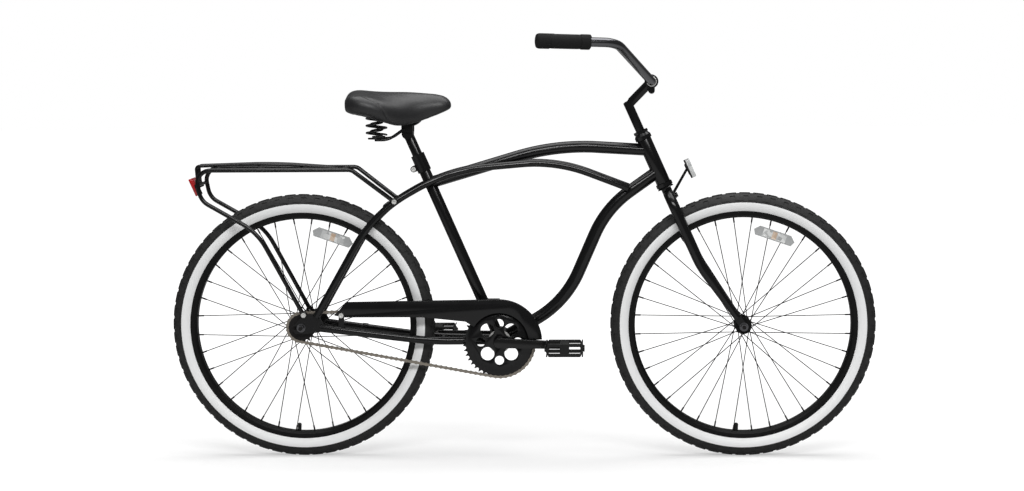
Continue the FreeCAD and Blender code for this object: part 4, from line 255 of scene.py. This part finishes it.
def pick_faces(piece, wanted):
    """Selects the faces of the open mesh whose centre and normal pass a test."""
    bpy.ops.mesh.select_mode(type="FACE")
    bpy.ops.mesh.select_all(action="DESELECT")
    mesh = bmesh.from_edit_mesh(piece.data)
    for face in mesh.faces:
        face.select = wanted(face.calc_center_median(), face.normal)
    mesh.select_flush_mode()
    bmesh.update_edit_mesh(piece.data)


def paint_picked(piece, finish):
    """Gives the selected faces of the open mesh a finish of their own."""
    names = [material.name for material in piece.data.materials]
    if finish.name not in names:
        piece.data.materials.append(finish)
        names.append(finish.name)
    piece.active_material_index = names.index(finish.name)
    bpy.ops.object.material_slot_assign()


def close_mesh():
    """Merges doubles in the open mesh, turns its normals outwards and goes back to object mode."""
    bpy.ops.mesh.select_all(action="SELECT")
    bpy.ops.mesh.remove_doubles(threshold=MERGE_DISTANCE)
    bpy.ops.mesh.normals_make_consistent(inside=False)
    bpy.ops.object.mode_set(mode="OBJECT")


def rounded(piece, width, angle=32.0):
    """Rounds the sharp edges of a piece."""
    only(piece)
    applied(piece, "rounding", "BEVEL", width=width, segments=2, limit_method="ANGLE",
            angle_limit=math.radians(angle), use_clamp_overlap=False)


def done(piece, name, body, replaced=(), smooth=38.0):
    """Puts the place of a finished piece in its mesh, ties it to its body and hides the CAD nodes that it
    replaces: a blended piece has no body of its own."""
    only(piece)
    piece.name = name
    piece.data.name = name
    bpy.ops.object.transform_apply(location=True, rotation=True, scale=True)
    bpy.ops.object.shade_smooth_by_angle(angle=math.radians(smooth))
    if body:
        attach(piece, body)
    if replaced:
        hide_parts(*replaced)
    return piece


def node_copy(label, finish):
    """A copy of a CAD node as a new mesh, merged, with its flat faces in one piece."""
    begin()
    piece = bpy.data.objects.new(label + "_copy", NODES[label].data.copy())
    bpy.context.scene.collection.objects.link(piece)
    piece.data.materials.clear()
    piece.data.materials.append(finish)
    open_mesh(piece)
    bpy.ops.mesh.remove_doubles(threshold=MERGE_DISTANCE)
    bpy.ops.mesh.dissolve_limited(angle_limit=FLAT_ANGLE)
    return piece


def turned(profile, finish, sides=48):
    """A round piece along +Z from (radius, height) pairs, closed at both ends."""
    begin()
    radius, height = profile[0]
    bpy.ops.mesh.primitive_circle_add(vertices=sides, radius=radius, fill_type="NGON", location=(0, 0, 0))
    piece = bpy.context.object
    piece.data.materials.append(finish)
    open_mesh(piece)
    bpy.ops.transform.translate(value=(0, 0, height))
    for new_radius, new_height in profile[1:]:
        bpy.ops.mesh.extrude_region_move(TRANSFORM_OT_translate={"value": (0, 0, new_height - height)})
        share = new_radius / radius
        bpy.ops.transform.resize(value=(share, share, 1), center_override=(0, 0, new_height))
        radius, height = new_radius, new_height
    close_mesh()
    return piece


def stand(piece, place, axis):
    """Turns a piece made along +Z onto an axis and moves it to its place."""
    turn = Vector((0, 0, 1)).rotation_difference(Vector(axis)).to_matrix().to_4x4()
    piece.matrix_world = Matrix.Translation(place) @ turn


# Painted tubes and plates, with smooth curves and softened edges
TUBES = [("top_tube", "frame"), ("down_tube", "frame"), ("side_tubes", "frame"), ("seat_tube", "frame"),
         ("chainstays", "frame"), ("head_tube", "frame"), ("stay_bridges", "frame"), ("rack_sides", "frame"),
         ("rack_deck", "frame"), ("chain_guard", "frame"), ("fork_legs", "steering"), ("stem", "steering"),
         ("seat_post", "seat_mast"), ("saddle_rails", "seat_mast")]
EDGE_WIDTH = 0.0006
EDGE_ANGLE = 60.0
CURVE_ANGLE = 62.0
# The handlebar's sleeve: its faces lie this near the middle, and further than this from the bar's axis
SLEEVE_REACH = 0.029
SLEEVE_LEAST_RADIUS = 0.0113


def smooth_copy(label, body, finish, ring=None):
    """A CAD node with smooth curves and softened edges: a ring of it can have a finish of its own."""
    piece = node_copy(label, finish)
    if ring:
        wanted, ring_finish = ring
        pick_faces(piece, wanted)
        paint_picked(piece, ring_finish)
    close_mesh()
    rounded(piece, EDGE_WIDTH, angle=EDGE_ANGLE)
    return done(piece, "smooth_" + label, body, [label], smooth=CURVE_ANGLE)


for label, body in TUBES:
    smooth_copy(label, body, SATIN_BLACK)


def on_sleeve(centre, normal):
    """Whether a face of the handlebar is on the sleeve inside the stem's clamp."""
    from_bar = math.hypot(centre.x - BAR_CENTRE.x, centre.z - BAR_CENTRE.z)
    return abs(centre.y) < SLEEVE_REACH and (from_bar > SLEEVE_LEAST_RADIUS or abs(normal.y) > SQUARE_ON)


smooth_copy("handlebar", "bars", GUNMETAL, (on_sleeve, ZINC))
smooth_copy("crank", "crankset", GLOSS_BLACK)
smooth_copy("chainring", "crankset", SATIN_BLACK)


def coil_springs():
    """The saddle's springs, which shorten as the saddle sinks."""
    coils = node_copy("saddle_springs", SATIN_BLACK)
    close_mesh()
    done(coils, "coil_springs", None, ["saddle_springs"], smooth=CURVE_ANGLE)
    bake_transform(coils)


coil_springs()


# Tyres: a round section spun about the axle, shoulder lugs, centre blocks and a white wall on each side
SECTION_RADIUS = 0.0253
LUG_HEIGHT = 0.0017
WHITE_HEIGHT = 0.0016
SECTION_SIDES = 60
SECTION_CENTRE = TYRE_RADIUS - SECTION_RADIUS - LUG_HEIGHT
# Steps of the spin round the wheel, from one lug to the next, and along a lug
SPIN_STEPS = 480
LUG_STEPS = 8
LUG_LENGTH = 5
# Bands of the section, in degrees from the tread's middle
CENTRE_BLOCKS = (6.0, 42.0)
BLOCK_GROOVE = (18.0, 24.0)
SHOULDER_LUGS = (42.0, 72.0)
WHITE_WALL = (84.0, 138.0)
TYRE_SMOOTH = 28.0


def tyre_angles(point, axle):
    """A point's angle round the tyre's section from the tread's middle, and its step round the wheel."""
    x, z = point.x - axle.x, point.z - axle.z
    round_section = math.degrees(math.atan2(abs(point.y), math.hypot(x, z) - SECTION_CENTRE))
    step = int(math.degrees(math.atan2(z, x)) % 360.0 * SPIN_STEPS / 360.0)
    return round_section, step


def within(band, angle):
    """Whether an angle lies inside a band."""
    return band[0] < angle < band[1]


def balloon_tyre(name, axle, body, node):
    """A balloon tyre with a white wall."""
    begin()
    bpy.ops.mesh.primitive_circle_add(vertices=SECTION_SIDES, radius=SECTION_RADIUS,
                                      rotation=(0, math.pi / 2, 0),
                                      location=(axle.x, 0, axle.z + SECTION_CENTRE))
    tyre = bpy.context.object
    bpy.ops.object.transform_apply(location=True, rotation=True, scale=True)
    tyre.data.materials.append(TYRE_BLACK)
    open_mesh(tyre)
    bpy.ops.mesh.spin(steps=SPIN_STEPS, angle=2 * math.pi, center=axle, axis=(0, 1, 0))
    bpy.ops.mesh.select_all(action="SELECT")
    bpy.ops.mesh.remove_doubles(threshold=MERGE_DISTANCE)
    bpy.ops.mesh.normals_make_consistent(inside=False)

    def on_lug(centre, normal):
        angle, step = tyre_angles(centre, axle)
        along = step % LUG_STEPS
        if within(SHOULDER_LUGS, angle):
            return along < LUG_LENGTH
        half_way = (along + LUG_STEPS // 2) % LUG_STEPS
        return within(CENTRE_BLOCKS, angle) and half_way <= LUG_LENGTH and not within(BLOCK_GROOVE, angle)

    def on_white(centre, normal):
        return within(WHITE_WALL, tyre_angles(centre, axle)[0])

    pick_faces(tyre, on_white)
    bpy.ops.mesh.extrude_region_shrink_fatten(TRANSFORM_OT_shrink_fatten={"value": WHITE_HEIGHT})
    paint_picked(tyre, TYRE_WHITE)
    pick_faces(tyre, on_lug)
    bpy.ops.mesh.extrude_region_shrink_fatten(TRANSFORM_OT_shrink_fatten={"value": LUG_HEIGHT})
    bpy.ops.object.mode_set(mode="OBJECT")
    return done(tyre, name, body, [node], smooth=TYRE_SMOOTH)


# Radius and height of the valve's cover, from its tip
VALVE_PROFILE = [(0.0030, 0.0), (0.0041, 0.0006), (0.0043, 0.0020), (0.0043, 0.0150), (0.0047, 0.0156),
                 (0.0047, 0.0250)]
VALVE_ROUNDING = 0.0003
# How far the cover reaches past the valve's tip
VALVE_TIP = 0.002


def valve_cover(name, axle, body, node):
    """A rubber valve stem with a cap over the tube's valve."""
    tip = min((vertex.co for vertex in NODES[node].data.vertices), key=lambda place: (place - axle).length)
    outward = (tip - axle).normalized()
    cover = turned(VALVE_PROFILE, PLASTIC_BLACK, sides=24)
    rounded(cover, VALVE_ROUNDING)
    stand(cover, tip - outward * VALVE_TIP, outward)
    return done(cover, name, body)


balloon_tyre("front_balloon_tyre", FRONT_AXLE, "front_wheel", "front_tyre")
balloon_tyre("rear_balloon_tyre", REAR_AXLE, "rear_wheel", "rear_tyre")
valve_cover("front_valve_cover", FRONT_AXLE, "front_wheel", "front_inner_tube")
valve_cover("rear_valve_cover", REAR_AXLE, "rear_wheel", "rear_inner_tube")


# Grips: foam sleeves with fuller ends, a groove inside each end and a vent hole
GRIP_PROFILE = [(0.0116, 0.0), (0.0172, 0.0), (0.0182, 0.0010), (0.0184, 0.0030), (0.0184, 0.0205),
                (0.0179, 0.0222), (0.0164, 0.0232), (0.0161, 0.0240), (0.0164, 0.0248), (0.0172, 0.0256),
                (0.0175, 0.0290),
                (0.0176, 0.0600), (0.0175, 0.0925), (0.0172, 0.0962), (0.0164, 0.0971), (0.0161, 0.0980),
                (0.0164, 0.0989), (0.0179, 0.0998), (0.0184, 0.1015), (0.0184, 0.1235), (0.0178, 0.1275),
                (0.0160, 0.1308), (0.0130, 0.1318), (0.0046, 0.1320), (0.0040, 0.1312), (0.0038, 0.1296)]
# The handlebar's left end, and its last bend, from the middle of the clamp
BAR_END = (-0.276, 0.312, 0.103)
BAR_KNEE = (-0.088, 0.252, 0.097)
GRIP_REACH = 0.129
for side, label in ((-1, "right"), (1, "left")):
    bar_end, bar_knee = (BAR_CENTRE + Vector((x, side * y, z)) for x, y, z in (BAR_END, BAR_KNEE))
    bar_way = (bar_end - bar_knee).normalized()
    grip = turned(GRIP_PROFILE, GRIP_BLACK)
    stand(grip, bar_end - bar_way * GRIP_REACH, bar_way)
    done(grip, "foam_grip_" + label, "bars", ["grip_" + label])


# Reflectors: a moulded body with a sunk lens
BAR_RIM = 0.0022
BAR_SINK = 0.0006
BAR_ROUNDING = 0.0005
# Half lengths along a spoke reflector: its amber patch, its clear lens, and past its end
AMBER_HALF = 0.006
CLEAR_HALF = 0.030
BAR_HALF = 0.060
HOUSING_RIM = 0.0025
HOUSING_SINK = 0.0008
HOUSING_ROUNDING = 0.0007
LENS_BODY = 0.010
LENS_SQUARE_ON = 0.97
TAIL_FACING = (-0.95, 0, -0.3)


def sunk_lens(piece, wanted, rim, depth, finish):
    """Sinks a lens into the faces that pass a test."""
    pick_faces(piece, wanted)
    bpy.ops.mesh.inset(thickness=rim, depth=0.0)
    bpy.ops.mesh.inset(thickness=depth, depth=-depth)
    paint_picked(piece, finish)


def wheel_reflector(name, axle, body, node):
    """A bar across the spokes: grey ends, a clear middle and an amber patch."""
    bar = node_copy(node, PLASTIC_GREY)
    low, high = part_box(node)
    middle = (Vector(low) + Vector(high)) / 2
    outward = (middle - axle).normalized()
    across = Vector((outward.z, 0, -outward.x))
    sunk_lens(bar, lambda centre, normal: abs(normal.y) > SQUARE_ON, BAR_RIM, BAR_SINK, CLEAR_LENS)
    for cut in (-CLEAR_HALF, -AMBER_HALF, AMBER_HALF, CLEAR_HALF):
        bpy.ops.mesh.select_all(action="SELECT")
        bpy.ops.mesh.bisect(plane_co=middle + across * cut, plane_no=across)
    lens_index = [material.name for material in bar.data.materials].index(CLEAR_LENS.name)
    mesh = bmesh.from_edit_mesh(bar.data)

    def spot(centre):
        return tuple(round(value, 5) for value in centre)

    lens_spots = {spot(face.calc_center_median()) for face in mesh.faces if face.material_index == lens_index}

    def on_part(inside, outside):
        def wanted(centre, normal):
            return inside < abs((centre - middle).dot(across)) < outside and spot(centre) in lens_spots
        return wanted

    pick_faces(bar, on_part(CLEAR_HALF, BAR_HALF))
    paint_picked(bar, PLASTIC_GREY)
    pick_faces(bar, on_part(0.0, AMBER_HALF))
    paint_picked(bar, PALE_AMBER_LENS)
    close_mesh()
    rounded(bar, BAR_ROUNDING)
    return done(bar, name, body, [node])


wheel_reflector("front_spoke_reflector", FRONT_AXLE, "front_wheel", "front_wheel_reflector")
wheel_reflector("rear_spoke_reflector", REAR_AXLE, "rear_wheel", "rear_wheel_reflector")


def plain_reflector(name, node, body, facing, finish):
    """A reflector in a black housing, with its lens on the side that it faces."""
    housing = node_copy(node, PLASTIC_BLACK)
    facing = Vector(facing).normalized()
    front = max(vertex.co.dot(facing) for vertex in NODES[node].data.vertices)

    def on_face(centre, normal):
        return normal.dot(facing) > LENS_SQUARE_ON and centre.dot(facing) > front - LENS_BODY

    bpy.ops.mesh.bisect(plane_co=facing * (front - LENS_BODY), plane_no=facing)
    pick_faces(housing, lambda centre, normal: centre.dot(facing) > front - LENS_BODY)
    paint_picked(housing, finish)
    sunk_lens(housing, on_face, HOUSING_RIM, HOUSING_SINK, finish)
    close_mesh()
    rounded(housing, HOUSING_ROUNDING)
    return done(housing, name, body, [node])


# Pedals: a cage with rounded edges, grip pins and amber strips
CAGE_ROUNDING = 0.0009
PIN_PROFILE = [(0.0021, -0.001), (0.0021, 0.0004), (0.0015, 0.0008), (0.0015, 0.0017), (0.0008, 0.0020)]
PIN_SINK = 0.0006
# Places of the pins as shares of the cage's half length and half width
PINS_ALONG = (-0.92, 0.92)
PINS_ACROSS = (-0.75, -0.25, 0.25, 0.75)
STRIP_SIZE = (0.003, 0.046, 0.011)
STRIP_PROUD = 0.0002
STRIP_RIM = 0.0016
STRIP_SINK = 0.0005
STRIP_ROUNDING = 0.0004


def platform_pedal(label):
    """A platform pedal on its spindle."""
    node = "pedal_" + label
    cage = node_copy(node, PLASTIC_BLACK)
    close_mesh()
    rounded(cage, CAGE_ROUNDING)
    low, high = (Vector(corner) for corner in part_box(node))
    middle = (low + high) / 2
    body = label + "_pedal"
    done(cage, "pedal_cage_" + label, body, [node])
    half = (high - low) / 2
    pins = []
    for upright in (1, -1):
        for along in PINS_ALONG:
            for across in PINS_ACROSS:
                place = middle + Vector((half.x * along, half.y * across, half.z * upright))
                pin = turned(PIN_PROFILE, PLASTIC_BLACK, sides=10)
                stand(pin, place - Vector((0, 0, PIN_SINK * upright)), (0, 0, upright))
                pins.append(pin)
    begin()
    for pin in pins:
        pin.select_set(True)
    bpy.context.view_layer.objects.active = pins[0]
    bpy.ops.object.join()
    done(pins[0], "pedal_pins_" + label, body)
    for way in (-1, 1):
        begin()
        place = middle + Vector((way * (half.x + STRIP_PROUD), 0, 0))
        bpy.ops.mesh.primitive_cube_add(size=1.0, location=place)
        strip = bpy.context.object
        strip.scale = STRIP_SIZE
        bpy.ops.object.transform_apply(location=True, rotation=True, scale=True)
        strip.data.materials.append(PLASTIC_BLACK)
        open_mesh(strip)
        sunk_lens(strip, lambda centre, normal: normal.x * way > SQUARE_ON, STRIP_RIM, STRIP_SINK, AMBER_LENS)
        close_mesh()
        rounded(strip, STRIP_ROUNDING)
        end = "front" if way > 0 else "rear"
        done(strip, "pedal_strip_%s_%s" % (label, end), body)


platform_pedal("right")
platform_pedal("left")


# Saddle: a stuffed cover, swollen by air inside the skin, then its seam drawn in on each side
SADDLE_SEAM = [(-0.424, 0.932), (-0.385, 0.915), (-0.355, 0.900), (-0.338, 0.880), (-0.328, 0.860),
               (-0.320, 0.836)]
SEAM_HALF_WIDTH = 0.0032
SEAM_DEPTH = 0.0016
# How far a face looks sideways where the seam starts to show, and where it is at full depth
SEAM_FROM = 0.25
SEAM_FULL = 0.5
SKIN_VOXEL = 0.0038
SKIN_SLACK = 0.0010
SMOOTH_SHARE = 0.5
EVEN_STEPS = 7
SETTLE_STEPS = 16
STUFFING_PRESSURE = 3.0
STUFFING_FRAMES = 20
MOST_SWELL = 0.004
SKIN_STIFFNESS = 40.0
SKIN_BENDING = 6.0
SADDLE_SMOOTH = 60.0


def from_seam(x, z):
    """Distance in the side view from the seam between the saddle's rear panel and its side."""
    nearest = 1.0
    for (x0, z0), (x1, z1) in zip(SADDLE_SEAM, SADDLE_SEAM[1:]):
        run = (x1 - x0) ** 2 + (z1 - z0) ** 2
        share = min(1.0, max(0.0, ((x - x0) * (x1 - x0) + (z - z0) * (z1 - z0)) / run))
        nearest = min(nearest, math.hypot(x - x0 - share * (x1 - x0), z - z0 - share * (z1 - z0)))
    return nearest


def swollen(cover, rest):
    """Swells the cover with cloth under pressure, and keeps each point near its rest place."""
    cloth = cover.modifiers.new("stuffing", "CLOTH")
    settings = cloth.settings
    settings.use_pressure = True
    settings.uniform_pressure_force = STUFFING_PRESSURE
    settings.effector_weights.gravity = 0.0
    settings.quality = 6
    settings.tension_stiffness = SKIN_STIFFNESS
    settings.compression_stiffness = SKIN_STIFFNESS
    settings.bending_stiffness = SKIN_BENDING
    cloth.point_cache.frame_start = 1
    cloth.point_cache.frame_end = STUFFING_FRAMES
    for step in range(1, STUFFING_FRAMES + 1):
        bpy.context.scene.frame_set(step)
    only(cover)
    bpy.ops.object.modifier_apply(modifier=cloth.name)
    bpy.context.scene.frame_set(1)
    for vertex, place in zip(cover.data.vertices, rest):
        moved = vertex.co - place
        if moved.length > MOST_SWELL:
            vertex.co = place + moved * (MOST_SWELL / moved.length)


def stuffed_saddle():
    """The saddle's cover as soft vinyl over foam."""
    cover = node_copy("saddle_cover", SADDLE_BLACK)
    close_mesh()
    only(cover)
    applied(cover, "even_skin", "REMESH", mode="VOXEL", voxel_size=SKIN_VOXEL)
    applied(cover, "even_curves", "SMOOTH", factor=SMOOTH_SHARE, iterations=EVEN_STEPS)
    cover.data.materials.clear()
    cover.data.materials.append(SADDLE_BLACK)
    rest = [vertex.co.copy() for vertex in cover.data.vertices]
    slack = [vertex.co - vertex.normal * SKIN_SLACK for vertex in cover.data.vertices]
    for vertex, place in zip(cover.data.vertices, slack):
        vertex.co = place
    swollen(cover, rest)
    applied(cover, "settled_skin", "SMOOTH", factor=SMOOTH_SHARE, iterations=SETTLE_STEPS)
    applied(cover, "smooth_skin", "SUBSURF", levels=1, render_levels=1)
    facing = [vertex.normal.copy() for vertex in cover.data.vertices]
    for vertex, normal in zip(cover.data.vertices, facing):
        away = from_seam(vertex.co.x, vertex.co.z)
        if away < SEAM_HALF_WIDTH:
            sideways = min(1.0, max(0.0, (abs(normal.y) - SEAM_FROM) / (SEAM_FULL - SEAM_FROM)))
            vertex.co -= normal * (SEAM_DEPTH * sideways * (1.0 - (away / SEAM_HALF_WIDTH) ** 2))
    done(cover, "stuffed_saddle", "saddle", ["saddle_cover"], smooth=SADDLE_SMOOTH)


stuffed_saddle()
plain_reflector("front_lens", "front_reflector", "steering", STEER_AHEAD, CLEAR_LENS)
plain_reflector("tail_lens", "tail_reflector", "frame", TAIL_FACING, RED_LENS)


# Studio: a white floor that keeps the shadow, soft lamps, and the camera of the photograph
WHITE = (1.0, 1.0, 1.0, 1.0)
WORLD_LIGHT = 0.13
FLOOR_SIZE = 40.0
FLOOR_GREY = (0.55, 0.55, 0.55, 1.0)
# The floor's own white: least under the object, full far from it, over these distances
OWN_WHITE = (0.46, 1.0)
OWN_WHITE_REACH = (0.3, 2.6)
OWN_WHITE_STRETCH = (0.55, 1.0, 1.0)
LAMP_AIM = (0.0, 0.0, 0.6)
CAMERA_PLACE = (0.1937, -5.6092, 1.0612)
CAMERA_TURN = (2.237, 5.361, -0.397)
CAMERA_LENS = 78.64
CAMERA_SENSOR = 36.0


def white_world():
    """White to the camera, and a plain soft light elsewhere."""
    world = bpy.data.worlds.new("studio_world")
    bpy.context.scene.world = world
    world.use_nodes = True
    nodes, links = world.node_tree.nodes, world.node_tree.links
    light = nodes["Background"]
    light.inputs["Color"].default_value = WHITE
    light.inputs["Strength"].default_value = WORLD_LIGHT
    seen = nodes.new("ShaderNodeBackground")
    seen.inputs["Color"].default_value = WHITE
    seen.inputs["Strength"].default_value = 1.0
    path = nodes.new("ShaderNodeLightPath")
    clear = nodes.new("ShaderNodeMath")
    clear.operation = "MAXIMUM"
    mix = nodes.new("ShaderNodeMixShader")
    links.new(path.outputs["Is Transmission Ray"], clear.inputs[0])
    links.new(path.outputs["Is Camera Ray"], clear.inputs[1])
    links.new(clear.outputs["Value"], mix.inputs["Fac"])
    links.new(light.outputs["Background"], mix.inputs[1])
    links.new(seen.outputs["Background"], mix.inputs[2])
    links.new(mix.outputs["Shader"], nodes["World Output"].inputs["Surface"])


def pale_floor():
    """A broad white floor: part of its white is its own, so that the shadow on it stays soft."""
    begin()
    bpy.ops.mesh.primitive_plane_add(size=FLOOR_SIZE, location=(0, 0, 0))
    floor = bpy.context.object
    floor.name = "floor"
    material = bpy.data.materials.new("pale_floor")
    material.use_nodes = True
    nodes, links = material.node_tree.nodes, material.node_tree.links
    shader = nodes["Principled BSDF"]
    shader.inputs["Base Color"].default_value = FLOOR_GREY
    shader.inputs["Roughness"].default_value = 1.0
    shader.inputs["Specular IOR Level"].default_value = 0.0
    glow = nodes.new("ShaderNodeEmission")
    glow.inputs["Color"].default_value = WHITE
    path = nodes.new("ShaderNodeLightPath")
    place = nodes.new("ShaderNodeTexCoord")
    flat = nodes.new("ShaderNodeMapping")
    flat.inputs["Scale"].default_value = OWN_WHITE_STRETCH
    far = nodes.new("ShaderNodeVectorMath")
    far.operation = "LENGTH"
    own_white = nodes.new("ShaderNodeMapRange")
    own_white.inputs["From Min"].default_value, own_white.inputs["From Max"].default_value = OWN_WHITE_REACH
    own_white.inputs["To Min"].default_value, own_white.inputs["To Max"].default_value = OWN_WHITE
    share = nodes.new("ShaderNodeMath")
    share.operation = "MULTIPLY"
    both = nodes.new("ShaderNodeAddShader")
    links.new(place.outputs["Object"], flat.inputs["Vector"])
    links.new(flat.outputs["Vector"], far.inputs[0])
    links.new(far.outputs["Value"], own_white.inputs["Value"])
    links.new(own_white.outputs["Result"], share.inputs[1])
    links.new(path.outputs["Is Camera Ray"], share.inputs[0])
    links.new(share.outputs["Value"], glow.inputs["Strength"])
    links.new(shader.outputs["BSDF"], both.inputs[0])
    links.new(glow.outputs["Emission"], both.inputs[1])
    links.new(both.outputs["Shader"], nodes["Material Output"].inputs["Surface"])
    floor.data.materials.append(material)


def soft_lamp(name, place, width, height, power):
    """A rectangular softbox that looks at the object."""
    bpy.ops.object.light_add(type="AREA", location=place)
    lamp = bpy.context.object
    lamp.name = name
    lamp.data.shape = "RECTANGLE"
    lamp.data.size = width
    lamp.data.size_y = height
    lamp.data.energy = power
    lamp.rotation_euler = (Vector(LAMP_AIM) - Vector(place)).to_track_quat("-Z", "Y").to_euler()


def photo_camera():
    """The camera fitted to both wheels of the photograph."""
    yaw, pitch, roll = (math.radians(angle) for angle in CAMERA_TURN)
    forward = Vector((-math.sin(yaw) * math.cos(pitch), math.cos(yaw) * math.cos(pitch), -math.sin(pitch)))
    level = Vector((math.cos(yaw), math.sin(yaw), 0))
    upright = level.cross(forward)
    right = level * math.cos(roll) + upright * math.sin(roll)
    up = upright * math.cos(roll) - level * math.sin(roll)
    bpy.ops.object.camera_add()
    camera = bpy.context.object
    camera.name = "photo_camera"
    camera.data.lens = CAMERA_LENS
    camera.data.sensor_width = CAMERA_SENSOR
    turn = Matrix((right, up, -forward)).transposed().to_4x4()
    camera.matrix_world = Matrix.Translation(CAMERA_PLACE) @ turn
    bpy.context.scene.camera = camera


white_world()
pale_floor()
soft_lamp("overhead_softbox", (0.0, 0.2, 3.4), width=4.0, height=2.4, power=105.0)
soft_lamp("front_softbox", (0.3, -3.6, 3.0), width=3.6, height=0.8, power=115.0)
photo_camera()
bpy.context.scene.view_settings.view_transform = "Standard"
